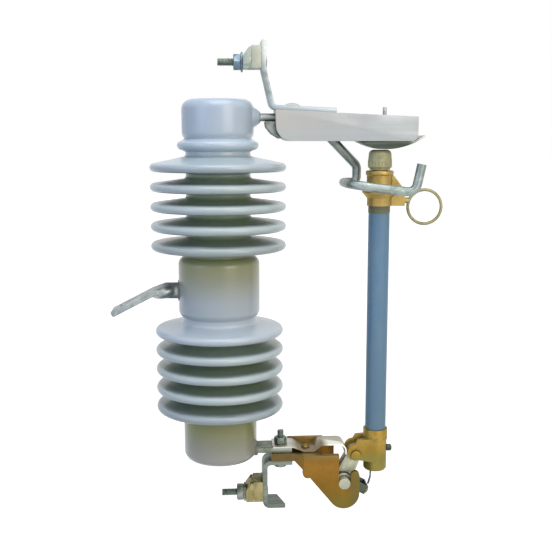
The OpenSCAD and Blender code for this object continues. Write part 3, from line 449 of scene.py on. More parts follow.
def cast(name, deep, bright, patina_and_shade_colour, roughness, patina_and_shade_most, metallic=1.0):
    """Cast metal: two tones of metal, patches of patina, painted shade on upward faces, rubbed edges and a
    sandy grain.
    """
    material, tree, shader, place = new_finish(name, Metallic=metallic)
    broad = add(tree, "ShaderNodeTexNoise", {"Vector": place, "Scale": 1 / (16 * MM), "Detail": 4.0})
    tone = add(tree, "ShaderNodeMapRange", {"Value": broad.outputs[0], "From Min": 0.35, "From Max": 0.65})
    patches = add(tree, "ShaderNodeTexNoise", {"Vector": place, "Scale": 1 / (8 * MM), "Detail": 6.0,
                                               "Roughness": 0.65})
    patch = add(tree, "ShaderNodeMapRange", {"Value": patches.outputs[0], "From Min": 0.48, "From Max": 0.7,
                                             "To Max": patina_and_shade_most})
    colour = add(tree, "ShaderNodeMix", {0: tone.outputs[0], 6: tint(deep), 7: tint(bright)},
                 data_type="RGBA")
    facing = add(tree, "ShaderNodeSeparateXYZ", {0: add(tree, "ShaderNodeTexCoord").outputs["Normal"]})
    # Painted shade: upward faces turn towards the patina colour, for the shade of the parts above them.
    top = add(tree, "ShaderNodeMapRange", {"Value": facing.outputs[2], "From Min": 0.4, "From Max": 0.95,
                                           "To Max": patina_and_shade_most})
    patina_and_top_shade = add(tree, "ShaderNodeMath", {0: patch.outputs[0], 1: top.outputs[0]}, operation="MAXIMUM")
    colour = add(tree, "ShaderNodeMix", {0: patina_and_top_shade.outputs[0], 6: colour.outputs[2], 7: tint(patina_and_shade_colour)},
                 data_type="RGBA")
    edge = add(tree, "ShaderNodeMapRange", {"Value": add(tree, "ShaderNodeNewGeometry").outputs["Pointiness"],
                                            "From Min": 0.53, "From Max": 0.62, "To Max": 0.5})
    colour = add(tree, "ShaderNodeMix", {0: edge.outputs[0], 6: colour.outputs[2], 7: tint(bright)},
                 data_type="RGBA")
    rough = add(tree, "ShaderNodeMapRange", {"Value": patches.outputs[0], "From Min": 0.3, "From Max": 0.7,
                                             "To Min": roughness - 0.08, "To Max": roughness + 0.14})
    grain = add(tree, "ShaderNodeTexNoise", {"Vector": place, "Scale": 1 / (1.8 * MM), "Detail": 3.0})
    surface(tree, shader, colour.outputs[2], rough.outputs[0], grain.outputs[0], strength=0.3, depth=0.3)
    print("finish:", name)
    return material


golden_bronze = cast("cast_golden_bronze", "#907532", "#AB8D46", "#757039", roughness=0.47, patina_and_shade_most=0.65)
red_bronze = cast("cast_red_bronze", "#7F5C26", "#98702F", "#6B6232", roughness=0.48, patina_and_shade_most=0.75)
cap_brass = cast("turned_brass_cap", "#9A966D", "#ADA983", "#837F5A", roughness=0.55, patina_and_shade_most=0.5,
                 metallic=0.35)
# This brass takes the most painted shade on its upward faces, under the insulator's foot.
olive_brass = cast("weathered_brass_with_painted_shade", "#8B8359", "#A69C6F", "#5F5D38", roughness=0.48, patina_and_shade_most=0.9)
ring_brass = cast("dull_brass_ring", "#85805C", "#A09A74", "#5F5F42", roughness=0.5, patina_and_shade_most=0.7)
tinned_clamp = cast("tinned_brass_clamp", "#969A8D", "#ACAFA3", "#858D7D", roughness=0.5, patina_and_shade_most=0.5)
tinned = cast("tinned_bronze", "#AFB09A", "#CBCCB6", "#96977F", roughness=0.4, patina_and_shade_most=0.5,
              metallic=0.6)
silvered = rolled("silvered_copper_strip", "#AFADA0", "#D2D0C4", roughness=0.34, metallic=1.0)

# %% [markdown]
# ### Tube
# The fuse tube is wound glass fibre under blue-grey paint. Winding leaves shallow bands that the paint
# follows. The real thread is finer than a pixel, so the bands are drawn 3 mm apart. A Wave node of scale 1
# repeats every pi / 10, and its scale is worked out from that.

# %% Painted laminate
BAND = 3 * MM
laminate, tree, shader, place = new_finish("painted_glass_fibre", IOR=1.5)
bands = add(tree, "ShaderNodeTexWave",
            {"Vector": place, "Scale": math.pi / 10 / BAND, "Distortion": 1.5, "Detail": 2.0},
            wave_type="BANDS", bands_direction="Z")
long_way = add(tree, "ShaderNodeMapping", {"Vector": place, "Scale": (1, 1, 0.08)})
drips = add(tree, "ShaderNodeTexNoise", {"Vector": long_way.outputs[0], "Scale": 1 / (6 * MM), "Detail": 4.0})
worn = add(tree, "ShaderNodeTexNoise", {"Vector": place, "Scale": 1 / (30 * MM), "Detail": 5.0})
paint = add(tree, "ShaderNodeMix", {0: drips.outputs[0], 6: tint("#557D9B"), 7: tint("#7697B0")},
            data_type="RGBA")
chalk = add(tree, "ShaderNodeMapRange",
            {"Value": worn.outputs[0], "From Min": 0.5, "From Max": 0.7, "To Max": 0.4})
paint = add(tree, "ShaderNodeMix", {0: chalk.outputs[0], 6: paint.outputs[2], 7: tint("#8299A6")},
            data_type="RGBA")
gloss = add(tree, "ShaderNodeMapRange", {"Value": worn.outputs[0], "To Min": 0.4, "To Max": 0.6})
surface(tree, shader, paint.outputs[2], gloss.outputs[0], bands.outputs[0], strength=0.25, depth=0.25)
print("finish:", laminate.name)

# %% [markdown]
# ### Strand, painted shadow and cement
# The fuse link's tail is tinned strand. A dark olive ring on the tube just below the top ferrule is painted
# shadow: the ferrule's shadow on the tube. The metal inserts sit in cement, which is pale and gritty, and is
# stained where water runs over it.

# %% Strand, painted shadow and cement
strand = rolled("tinned_copper_strand", "#5E6162", "#8C8F8F", roughness=0.4, metallic=1.0)
# Painted shadow: a dark olive for the ferrule's shadow on the tube.
ferrule_shadow_paint = rolled("painted_ferrule_shadow", "#66684A", "#80805E", roughness=0.5, metallic=0.0)

cement, tree, shader, place = new_finish("portland_cement", IOR=1.5, Roughness=0.85)
grit = add(tree, "ShaderNodeTexNoise",
           {"Vector": place, "Scale": 1 / (1.5 * MM), "Detail": 5.0, "Roughness": 0.7})
stain = add(tree, "ShaderNodeTexNoise", {"Vector": place, "Scale": 1 / (9 * MM), "Detail": 3.0})
grey = add(tree, "ShaderNodeMix", {0: grit.outputs[0], 6: tint("#8D8B80"), 7: tint("#B5B2A6")},
           data_type="RGBA")
grey = add(tree, "ShaderNodeMix", {0: stain.outputs[0], 6: grey.outputs[2], 7: tint("#7C7866")},
           data_type="RGBA")
tree.links.new(grey.outputs[2], shader.inputs["Base Color"])
rubbed = add(tree, "ShaderNodeBump", {"Height": grit.outputs[0], "Strength": 0.6, "Distance": 0.6 * MM})
tree.links.new(rubbed.outputs[0], shader.inputs["Normal"])
print("finishes made:", len(bpy.data.materials))

# %% [markdown]
# Tones aren't even along a part. The next tool turns a finish towards a second colour along a direction,
# between two places. Three of these turns are painted light and shade: the dark heel of the hinge, the
# paler left side of the cap and the darker stem of the hook. Two of the directions are particular: one is
# square to the slanted edge of the hinge's cheeks, and one points to the far right corner of the contact
# strip.

# %% Tarnish and wash marks
ALONG = (1, 0, 0)
UP = (0, 0, 1)
SLANT = (0.748, 0, 0.664)
FAR_END = (0.5, 1, 0)


def toned(material, direction, start, end, code, most=1.0):
    """Turns a finish towards a colour along a direction, from one distance in millimetres to another."""
    tree = material.node_tree
    colour = tree.nodes["Principled BSDF"].inputs["Base Color"]
    place = add(tree, "ShaderNodeTexCoord").outputs["Object"]
    from_axis = add(tree, "ShaderNodeMapping", {"Vector": place, "Location": (-AXIS_X, 0, -LEVEL_Z)})
    distance = add(tree, "ShaderNodeVectorMath", {0: from_axis.outputs[0], 1: direction},
                   operation="DOT_PRODUCT")
    amount = add(tree, "ShaderNodeMapRange", {"Value": distance.outputs["Value"], "From Min": start * MM,
                                              "From Max": end * MM, "To Max": most})
    mixed = add(tree, "ShaderNodeMix", {0: amount.outputs[0], 6: colour.links[0].from_socket, 7: tint(code)},
                data_type="RGBA")
    tree.links.new(mixed.outputs[2], colour)


toned(strap_zinc, UP, 204, 198, "#A3ADB3")
toned(strap_zinc, UP, 222, 242, "#C2C7C3")
toned(bar_zinc, ALONG, 52, 58, "#A5A99F", most=0.8)
toned(plated, ALONG, 150, 62, "#C9C4BA", most=0.8)
toned(plated, UP, 171, 164, "#C2C7C6", most=0.5)
toned(silvered, ALONG, 74, 82, "#75664A", most=0.9)
toned(silvered, ALONG, 108, 115, "#E9E7DC")
toned(silvered, FAR_END, 56.5, 60.5, "#9C9684", most=0.9)
toned(red_bronze, SLANT, -61, -53, "#8F682C", most=0.6)
toned(red_bronze, UP, -181, -175, "#7D6A3A", most=0.75)
toned(red_bronze, UP, -188, -202, "#7A5C25", most=0.8)
toned(red_bronze, UP, -208, -226, "#776930", most=0.85)
toned(red_bronze, ALONG, 136, 140, "#6C6238", most=0.85)
# Painted shade: the hinge's heel, facing down and left, is darkened for its shade.
toned(red_bronze, ALONG, 86, 74, "#64573A", most=0.8)
toned(golden_bronze, UP, 0, 90, "#B8A26A", most=0.45)
toned(golden_bronze, UP, -172, -181, "#827C42", most=0.75)
# Painted light: the cap's left side is made paler, where the weak left lamp leaves it dark.
toned(cap_brass, ALONG, TUBE_X - 3, TUBE_X - 12, "#C4C096", most=0.9)
toned(laminate, UP, 40, -150, "#64808F", most=0.6)
# Painted shade: the hook's upright stem is darker, for its shade.
toned(hook_zinc, UP, 114, 128, "#818A84", most=0.6)
# Past 206 mm the shoe turns pale, outside its painted shade.
toned(shaded_spring_satin, ALONG, 195, 206, "#AEB2AD")
print("weathered finishes: strap, bar, channel, strip, hinge, ferrules, cap, tube, hook and shoe")

# %% [markdown]
# ## The porcelain
# A potter turns an insulator on a lathe against a template. Spin does the same: half the outline is drawn
# as a chain of points, by extruding one point again and again, and is then spun once round the axis. The
# sheds are one shape at different heights, so a function gives one shed and the chain strings them up.

# %% Outline of the porcelain
NECK_R = 33
RIM_R = 4.2
ROOT_R = 3
LOWER_SHED_R = 66.5
SHED_STEP = 20
LOWER_GROUP_Z = -122
UPPER_GROUP_Z = 47
FOOT_R = 38.5
FOOT_EDGE = 9
BARREL_R = 42
SHOULDER = 8
HEAD_R = 36.5
HEAD_EDGE = 10


def arc(centre, r, start, end, steps):
    """Points of an arc in radius and height, from one angle to another in degrees."""
    angles = [math.radians(start + (end - start) * i / steps) for i in range(steps + 1)]
    return [(centre[0] + r * math.cos(a), centre[1] + r * math.sin(a)) for a in angles]


def shed(z, r, slope, neck=NECK_R):
    """One shed from its lower root, round its rim, to its upper root on a neck of this radius."""
    rise = math.radians(slope)
    root_z = z + RIM_R / math.cos(rise) + (r - RIM_R - neck) * math.tan(rise)
    fillet_z = root_z + ROOT_R * (1 / math.cos(rise) - math.tan(rise))
    return (arc((NECK_R + ROOT_R, z - RIM_R - ROOT_R), ROOT_R, 180, 90, 4)
            + arc((r - RIM_R, z), RIM_R, -90, 90 - slope, 12)
            + arc((neck + ROOT_R, fillet_z), ROOT_R, 270 - slope, 180, 5))


outline = [(0, FOOT_Z)] + arc((FOOT_R - FOOT_EDGE, FOOT_Z + FOOT_EDGE), FOOT_EDGE, -90, 0, 8)
outline += [(FOOT_R, -133.2)]
for k in range(4):
    outline += shed(LOWER_GROUP_Z + SHED_STEP * k, LOWER_SHED_R, slope=10)
outline += shed(LOWER_GROUP_Z + SHED_STEP * 4, LOWER_SHED_R, slope=10, neck=38)
outline += arc((BARREL_R - SHOULDER, -20), SHOULDER, -60, 0, 8)
outline += arc((BARREL_R - SHOULDER, 28), SHOULDER, 0, 90, 8) + [(NECK_R, 36)]
for k in range(4):
    outline += shed(UPPER_GROUP_Z + SHED_STEP * k, WIDEST_SHED_R, slope=8)
outline += shed(UPPER_GROUP_Z + SHED_STEP * 4, WIDEST_SHED_R, slope=12) + [(NECK_R, 142.5)]
rib = arc((37, 149), 4.5, -90, 80, 10)
hollow_over_rib = [(34.2, 155.6), (34.6, 156.8), (35.6, 158.4), (36.3, 160.2), (HEAD_R, 162)]
outline += rib + hollow_over_rib
outline += arc((HEAD_R - HEAD_EDGE, HEAD_Z - HEAD_EDGE), HEAD_EDGE, 0, 90, 10) + [(0, HEAD_Z)]
print("points in the outline:", len(outline))

# %% [markdown]
# The outline is spun in 144 steps, which is fine enough for the rims to look round. The stud's boss is a
# small turned piece of its own. It is made upright, stood on the head's side and joined on.

# %% Spin the porcelain
STUD_Z = 179.3


def wire(name, points):
    """A chain of edges through the points, made by extruding one vertex from each to the next."""
    piece = added(bpy.ops.mesh.primitive_plane_add, name, size=MM, location=(0, 0, 0))
    bpy.ops.object.mode_set(mode="EDIT")
    bpy.ops.mesh.select_mode(type="VERT")
    bpy.ops.mesh.select_all(action="SELECT")
    bpy.ops.mesh.merge(type="CENTER")
    bpy.ops.transform.translate(value=points[0])
    for before, after in zip(points, points[1:]):
        bpy.ops.mesh.extrude_vertices_move(TRANSFORM_OT_translate={"value": after - before})
    bpy.ops.object.mode_set(mode="OBJECT")
    return piece


def turned(name, side, steps=48, base=(0, 0, 0)):
    """A turned piece: its outline in radius and height, spun once about the upright axis on its base."""
    base = Vector(base)
    piece = wire(name, [base + Vector((r, 0, h)) * MM for r, h in side])
    edit_all(piece)
    bpy.ops.mesh.spin(steps=steps, angle=2 * math.pi, center=base, axis=(0, 0, 1))
    bpy.ops.mesh.select_all(action="SELECT")
    bpy.ops.mesh.remove_doubles(threshold=SAME_POINT)
    bpy.ops.object.mode_set(mode="OBJECT")
    return piece


porcelain_body = turned("porcelain_body", outline, 144, at(0, 0, BRACKET_Z))
boss_side = [(0, 6), (5.8, 6), (6.4, 5.6), (7, 4.7), (8.1, 3.2), (9.4, 1.4), (10.8, -0.6), (12.4, -2.8),
             (14, -5), (0, -5)]
stud_boss = stand(turned("stud_boss", boss_side), at(HEAD_R, 0, STUD_Z), (1, 0, 0))
porcelain_body = joined(porcelain_body, stud_boss)
hand_over(porcelain_body, FIXED, porcelain, "porcelain", "insulator", angle=45)

# %% [markdown]
# The steel parts are set in the porcelain with cement, which stands out a little around each of them. A ring
# is spun for the round ones. The foot's bar is flat, so its cement starts as a cube: the edges are bevelled
# into a cushion.

# %% Cement around the inserts
SUNK = 5
BAR_CUSHION = (5, 29, 9.4)


def cement_ring(name, base, along, inner, outer, proud):
    """A ring of cement around a round insert, sunk into the porcelain and domed outside."""
    side = [(inner, -SUNK), (outer, -SUNK), (outer, 0)] + arc((outer - proud, 0), proud, 0, 90, 5)
    side += [(inner + 0.4, proud * 0.8), (inner, proud * 0.5), (inner, -SUNK)]
    piece = stand(turned(name, side), base, along)
    hand_over(piece, FIXED, cement, "porcelain")


cement_ring("shank_cement", at(-41.2, 0, BRACKET_Z), (-1, 0, 0), inner=8.4, outer=11.5, proud=1.4)
cement_ring("stud_cement", at(42.2, 0, STUD_Z), (1, 0, 0), inner=3.9, outer=5.8, proud=0.9)
bar_cement = added(bpy.ops.mesh.primitive_cube_add, "bar_cement", size=MM, location=at(36.8, 0, -169.7))
bar_cement.scale = BAR_CUSHION
settle(bar_cement)
apply_modifier(bar_cement, "BEVEL", width=1.8 * MM, segments=4)
hand_over(bar_cement, FIXED, cement, "porcelain")

# %% [markdown]
# ## Worked copies of the CAD solids
# Solids from CAD have knife edges, and nothing that has been cast, bent or galvanised does. Each such solid
# is copied, its loose triangles are welded, flat faces are dissolved into one, and a narrow bevel rounds
# what is left of the edges. The copy stands where the solid stood and replaces it.

# %% Round the edges of the metal


def worked(node, body, finish, slot, width):
    """A copy of a CAD solid with welded faces and edges bevelled to this width, which replaces it."""
    only(frame["nodes"][node])
    bpy.ops.object.duplicate()
    piece = bpy.context.object
    piece.name = node + "_worked"
    del piece["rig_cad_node"]
    bpy.ops.object.parent_clear(type="CLEAR_KEEP_TRANSFORM")
    bpy.ops.mesh.customdata_custom_splitnormals_clear()
    edit_all(piece)
    bpy.ops.mesh.remove_doubles(threshold=2 * SAME_POINT)
    bpy.ops.mesh.dissolve_limited(angle_limit=math.radians(1))
    bpy.ops.object.mode_set(mode="OBJECT")
    apply_modifier(piece, "BEVEL", width=width * MM, segments=2, limit_method="ANGLE",
                   angle_limit=math.radians(30), use_clamp_overlap=True, miter_outer="MITER_ARC")
    return hand_over(piece, body, finish, slot, node, angle=40)


bracket = worked("mounting_bracket", FIXED, galvanised, "galvanised_steel", width=0.8)
worked("top_channel", FIXED, plated, "plated_steel", width=0.5)
worked("upper_terminal_strap", FIXED, strap_zinc, "plated_steel", width=0.7)
worked("upper_clamp_block", FIXED, tinned_clamp, "pale_brass", width=0.8)
worked("lower_terminal_strap", FIXED, shaded_strap_zinc, "galvanised_steel", width=0.7)
worked("lower_clamp_block", FIXED, olive_brass, "pale_brass", width=0.8)
worked("lower_insert_bar", FIXED, bar_zinc, "galvanised_steel", width=0.5)
worked("hinge_casting", FIXED, red_bronze, "bronze", width=0.9)
worked("lower_contact_strip", FIXED, silvered, "silvered_copper", width=0.3)
worked("contact_shoe", FIXED, shaded_spring_satin, "spring_steel", width=0.3)
worked("stud_gusset", FIXED, gusset_shade_zinc, "galvanised_steel", width=0.8)
worked("upper_clamp_keeper", FIXED, keeper_zinc, "galvanised_steel", width=1.0)
worked("lower_clamp_keeper", FIXED, olive_brass, "pale_brass", width=1.0)
worked("contact_pin", FIXED, galvanised, "galvanised_steel", width=0.4)
worked("top_cap", HOLDER, cap_brass, "pale_brass", width=0.3)
worked("top_ferrule", HOLDER, golden_bronze, "bronze", width=0.6)
worked("pull_ring", HOLDER, ring_brass, "pale_brass", width=0.2)
worked("bottom_ferrule", HOLDER, golden_bronze, "bronze", width=0.7)
worked("trunnion", HOLDER, tinned, "tinned_bronze", width=0.7)
worked("toggle_pin", HOLDER, golden_bronze, "bronze", width=0.5)
worked("flipper", HOLDER, shaded_spring_satin, "spring_steel", width=0.3)

# %% [markdown]
# The bracket is forged from round bar. Where the hammer stopped, the round swells softly into the flat, and
# thick zinc rounds every edge. A ball pressed flat is put into the bend, a voxel remesh gives both one skin,
# and smoothing lets that skin sag a little between them.

# %% Forge the bracket
SWELL = (14.5, 15.2, 7.6)
BAR_FALL = math.radians(13)
swell = added(bpy.ops.mesh.primitive_uv_sphere_add, "bracket_swell", radius=MM,
              location=at(-57.5, 0, BRACKET_Z - 0.5), rotation=(0, -BAR_FALL, 0))
swell.scale = SWELL
settle(swell)
bracket = joined(bracket, swell)
apply_modifier(bracket, "REMESH", mode="VOXEL", voxel_size=0.7 * MM)
apply_modifier(bracket, "SMOOTH", factor=0.5, iterations=24)
bpy.ops.object.shade_smooth()
print("forged bracket has", len(bracket.data.polygons), "faces")

# %% [markdown]
# ## The bent rod
# The hook under the channel is one round rod, bent on a former. By hand it is a chain of edges with rounded
# corners, turned into a curve, given a round section and turned back into a mesh. A bevel rounds the sawn
# end. Corners, bend radii and thickness are the CAD model's.

# %% Attachment hook


def bent(corners, radii, steps=8):
    """The chain through the corners, with each inner corner rounded to its radius."""
    chain = [Vector(corners[0])]
    for before, corner, after, r in zip(corners, corners[1:], corners[2:], radii):
        corner = Vector(corner)
        come = (Vector(before) - corner).normalized()
        go = (Vector(after) - corner).normalized()
        half = come.angle(go) / 2
        middle = corner + (come + go).normalized() * (r / math.sin(half))
        first = (corner + come * (r / math.tan(half)) - middle).normalized()
        last = (corner + go * (r / math.tan(half)) - middle).normalized()
        for i in range(steps + 1):
            chain.append(middle + r * first.slerp(last, i / steps).normalized())
    return chain + [Vector(corners[-1])]


def rod(name, chain, thickness, sides=6):
    """A round rod along a chain of points in millimetres."""
    piece = wire(name, [at(*point) for point in chain])
    bpy.ops.object.convert(target="CURVE")
    piece.data.bevel_depth = thickness / 2 * MM
    piece.data.bevel_resolution = sides
    piece.data.use_fill_caps = True
    bpy.ops.object.convert(target="MESH")
    return bpy.context.object


hook_corners = [(TUBE_X - 53, 9, 180.5), (TUBE_X - 53, 9, 161), (TUBE_X - 20.5, 23, 129.8),
                (TUBE_X - 20.5, 23, 112.5), (TUBE_X - 35, 23, 112.5), (TUBE_X - 35, -30, 112.5),
                (TUBE_X + 31, -30, 104), (TUBE_X + 37, -30, 132.5)]
bend_radii = (9, 9, 6, 6, 20, 9)
bent_hook = rod("bent_hook", bent(hook_corners, bend_radii), thickness=9.5)
apply_modifier(bent_hook, "BEVEL", width=1.6 * MM, segments=3, limit_method="ANGLE",
               angle_limit=math.radians(60))
hand_over(bent_hook, FIXED, hook_zinc, "galvanised_steel", "attachment_hook")

# %% [markdown]
# ## Springs
# A coil spring is a circle of wire carried up a screw. The Screw modifier does just that: a small upright
# circle stands at the coil's radius and turns about the axis while it climbs. The open ends are filled.

# %% Contact spring and flipper springs
HINGE_X = 131
HINGE_Z = -205.2
COIL_STEPS = 32


def coil(name, r, wire_r, pitch, turns):
    """A coil that climbs up the Z axis from the origin."""
    piece = added(bpy.ops.mesh.primitive_circle_add, name, vertices=12, radius=wire_r * MM,
                  location=(r * MM, 0, 0), rotation=(math.pi / 2, 0, 0))
    settle(piece)
    apply_modifier(piece, "SCREW", axis="Z", screw_offset=pitch * MM, iterations=turns,
                   steps=COIL_STEPS, render_steps=COIL_STEPS)
    edit_all(piece)
    bpy.ops.mesh.fill_holes(sides=0)
    bpy.ops.object.mode_set(mode="OBJECT")
    return piece


contact_coil = stand(coil("contact_coil", r=8, wire_r=1.1, pitch=5.2, turns=5), at(171, 0, 151.1), (0, 0, 1))
hand_over(contact_coil, FIXED, spring_wire, "spring_steel", "contact_spring")
flipper_size = {"r": 7.6, "wire_r": 0.9, "pitch": 2.35, "turns": 2}
near_coil = stand(coil("near_coil", **flipper_size), at(HINGE_X, -11.7, HINGE_Z), (0, -1, 0))
far_coil = stand(coil("far_coil", **flipper_size), at(HINGE_X, 11.7, HINGE_Z), (0, 1, 0))
flipper_coils = joined(near_coil, far_coil)
flipper_coils.name = "flipper_coils"
hand_over(flipper_coils, HOLDER, lit_flipper_wire, "spring_steel", "flipper_spring")

# %% [markdown]
# ## Bolts and nuts
# A thread is one tooth that climbs a screw, so the Screw modifier makes it too. It is then cut off square at
# both ends with Bisect, which fills the cut, and the tip's face is drawn in to a lead. A nut starts as a
# cylinder of six sides. Turning takes its corners off on the real one, so a turned ring is spun and only
# what lies in both is kept.

# %% Thread, nut, washer and dome
THREAD_STEPS = 24
THREAD_DEPTH = 0.61
LEAD = 0.84
COUNTERSINK = 0.7


def thread(name, r, length, pitch):
    """A threaded rod on the origin, along Z."""
    low = r - THREAD_DEPTH * pitch
    tooth = [(low, -pitch), (low, -0.85 * pitch), (r, -0.55 * pitch), (r, -0.42 * pitch), (low, 0)]
    piece = wire(name, [Vector((x, 0, z)) * MM for x, z in tooth])
    apply_modifier(piece, "SCREW", axis="Z", screw_offset=pitch * MM, iterations=int(length / pitch) + 2,
                   steps=THREAD_STEPS, render_steps=THREAD_STEPS)
    edit_all(piece)
    bpy.ops.mesh.remove_doubles(threshold=2 * SAME_POINT)
    bpy.ops.mesh.select_all(action="SELECT")
    bpy.ops.mesh.bisect(plane_co=(0, 0, 0), plane_no=(0, 0, 1), use_fill=True, clear_inner=True)
    bpy.ops.mesh.select_all(action="SELECT")
    bpy.ops.mesh.bisect(plane_co=(0, 0, length * MM), plane_no=(0, 0, 1), use_fill=True, clear_outer=True)
    pick_faces(piece, lambda middle, facing: middle.z > (length - 0.05) * MM and facing.z > 0.9)
    bpy.ops.transform.resize(value=(LEAD, LEAD, 1), center_override=(0, 0, length * MM))
    bpy.ops.object.mode_set(mode="OBJECT")
    return piece


def nut(name, across, thick, bore_r):
    """A hexagon nut on the origin, with turned corners and a countersunk bore."""
    corner = across / 2 / math.cos(math.radians(30))
    flat = across / 2 - 0.2
    bevel = (corner - flat) * 0.55
    mouth = bore_r + COUNTERSINK
    side = [(mouth, 0), (flat, 0), (corner, bevel), (corner, thick - bevel), (flat, thick), (mouth, thick),
            (bore_r, thick - COUNTERSINK), (bore_r, COUNTERSINK), (mouth, 0)]
    ring = turned(name + "_ring", side)
    edit_all(ring)
    bpy.ops.mesh.normals_make_consistent(inside=False)
    bpy.ops.object.mode_set(mode="OBJECT")
    piece = added(bpy.ops.mesh.primitive_cylinder_add, name, vertices=6, radius=corner * MM,
                  depth=thick * 1.2 * MM, location=(0, 0, thick / 2 * MM), rotation=(0, 0, math.pi / 6))
    settle(piece)
    apply_modifier(piece, "BOOLEAN", operation="INTERSECT", solver="EXACT", object=ring)
    bpy.data.objects.remove(ring)
    apply_modifier(piece, "BEVEL", width=0.25 * MM, segments=2, limit_method="ANGLE",
                   angle_limit=math.radians(25))
    return piece


def washer(name, outer, inner, thick):
    """A round washer on the origin with softened rims."""
    soft = 0.35
    side = [(inner, 0), (outer - soft, 0), (outer, soft), (outer, thick - soft), (outer - soft, thick),
            (inner, thick), (inner, 0)]
    return turned(name, side)


def dome(name, r, high, skirt):
    """A round bolt or rivet head on the origin: a low dome on a short skirt."""
    big = (r * r + (high - skirt) ** 2) / (2 * (high - skirt))
    sweep = math.degrees(math.asin(min(1, r / big)))
    side = [(0, 0), (r, 0)] + arc((0, high - big), big, 90 - sweep, 90, 8)
    return turned(name, side, 40)


print("a thread has", THREAD_STEPS, "steps to a turn")

# %% [markdown]
# One bolt closes each terminal clamp. Its round head sits behind the strap, and its thread comes out to the
# left through block and keeper, where a washer and a nut hold it. Both clamps are alike, so a loop makes
# them, with distances counted outwards from the face of the strap.

# %% Clamp bolts, their nuts and washers
out = Vector((-1, 0, 0))
clamps = (("upper", at(43.74, 0, 233.89), nut_zinc), ("lower", at(44.4, 0, -219.69), shaded_nut_zinc))
for level, face, nut_finish in clamps:
    tip = stand(thread(level + "_clamp_thread", r=4, length=27.5, pitch=1.5), face + 16 * MM * out, out)
    head = stand(dome(level + "_clamp_head", r=7, high=1.6, skirt=0.6), face - 5 * MM * out, -out)
    hand_over(joined(tip, head), FIXED, dull_bolt, "galvanised_steel", level + "_clamp_bolt")
    flat_washer = stand(washer(level + "_clamp_washer", outer=10, inner=4.2, thick=1.9),
                        face + 18.1 * MM * out, out)
    clamp_nut = stand(nut(level + "_clamp_hexagon", across=15.2, thick=7.5, bore_r=3.8),
                      face + 20 * MM * out, out)
    hand_over(joined(clamp_nut, flat_washer), FIXED, nut_finish, "galvanised_steel", level + "_clamp_nut")

# %% [markdown]
# One upright bolt holds the hinge, the contact strip and the lower strap under the foot's bar. Its head is a
# nut with a plug in its bore. A round head holds the upper strap's foot on the channel, square to the
# channel's top, which falls a little. A rivet fixes the contact strip.

# %% Hinge bolt, strap bolt and rivet
BOLT_X = 64
CHANNEL_FALL = math.radians(2.6)
hinge_tip = stand(thread("hinge_thread", r=3.5, length=30, pitch=1.25), at(BOLT_X, 0, -181.35), (0, 0, 1))
hinge_head = stand(nut("hinge_hexagon_head", across=11.9, thick=5.5, bore_r=2),
                   at(BOLT_X, 0, -185.95), (0, 0, -1))
hinge_plug = stand(dome("hinge_head_plug", r=3, high=5.3, skirt=4.6), at(BOLT_X, 0, -186.1), (0, 0, -1))
hand_over(joined(hinge_tip, hinge_head, hinge_plug), FIXED, dull_bolt, "galvanised_steel", "hinge_bolt")
hinge_nut = stand(nut("hinge_hexagon_nut", across=11.9, thick=7, bore_r=3.3),
                  at(BOLT_X, 0, -165.3), (0, 0, 1))
hand_over(hinge_nut, FIXED, dull_bolt, "galvanised_steel", "hinge_bolt_nut")
foot_bolt = stand(dome("foot_bolt_head", r=8, high=3.4, skirt=0.6), at(76, 0, 190.6),
                  (math.sin(CHANNEL_FALL), 0, math.cos(CHANNEL_FALL)))
hand_over(foot_bolt, FIXED, plated, "plated_steel")
strip_rivet = stand(dome("strip_rivet", r=4.5, high=3.6, skirt=1.2), at(91, 0, -170.9), (0, 0, 1))
hand_over(strip_rivet, FIXED, red_bronze, "bronze")

# %% [markdown]
# ## The fuse holder
# The tube is wound on a mandrel and cut off, so it is a turned piece with a bore and broken edges. A thin
# turned ring below the top ferrule is painted shadow: it darkens the tube where the ferrule shades it.

# %% Fuse tube
TUBE_R = 11
BORE_R = 6.35
TUBE_LOW = -191
TUBE_TOP = 122.5
BROKEN = 0.6
SHADOW_BAND_LOW = 81.5
SHADOW_BAND_TOP = 88.4
tube_axis = at(TUBE_X, 0, 0)
tube_side = [(BORE_R, TUBE_LOW), (TUBE_R - BROKEN, TUBE_LOW), (TUBE_R, TUBE_LOW + BROKEN),
             (TUBE_R, TUBE_TOP - BROKEN), (TUBE_R - BROKEN, TUBE_TOP), (BORE_R, TUBE_TOP), (BORE_R, TUBE_LOW)]
wound_tube = turned("wound_tube", tube_side, 64, tube_axis)
hand_over(wound_tube, HOLDER, laminate, "fuse_tube_laminate", "fuse_tube")
# Painted shadow: this dark ring stands for the shadow of the ferrule on the tube.
shadow_band_side = [(TUBE_R - 0.1, SHADOW_BAND_LOW), (TUBE_R + 0.15, SHADOW_BAND_LOW + 0.1), (TUBE_R + 0.4, SHADOW_BAND_LOW + 0.9),
             (TUBE_R + 0.4, SHADOW_BAND_TOP), (TUBE_R - 0.1, SHADOW_BAND_TOP), (TUBE_R - 0.1, SHADOW_BAND_LOW)]
ferrule_shadow_band = turned("ferrule_shadow_band", shadow_band_side, 64, tube_axis)
hand_over(ferrule_shadow_band, HOLDER, ferrule_shadow_paint, "fuse_tube_laminate")

# %% [markdown]
# The screw that pinches the bottom ferrule on the tube has a slot for a screwdriver. A thin cube stands where
# the slot goes, and a Boolean takes it away from the head.

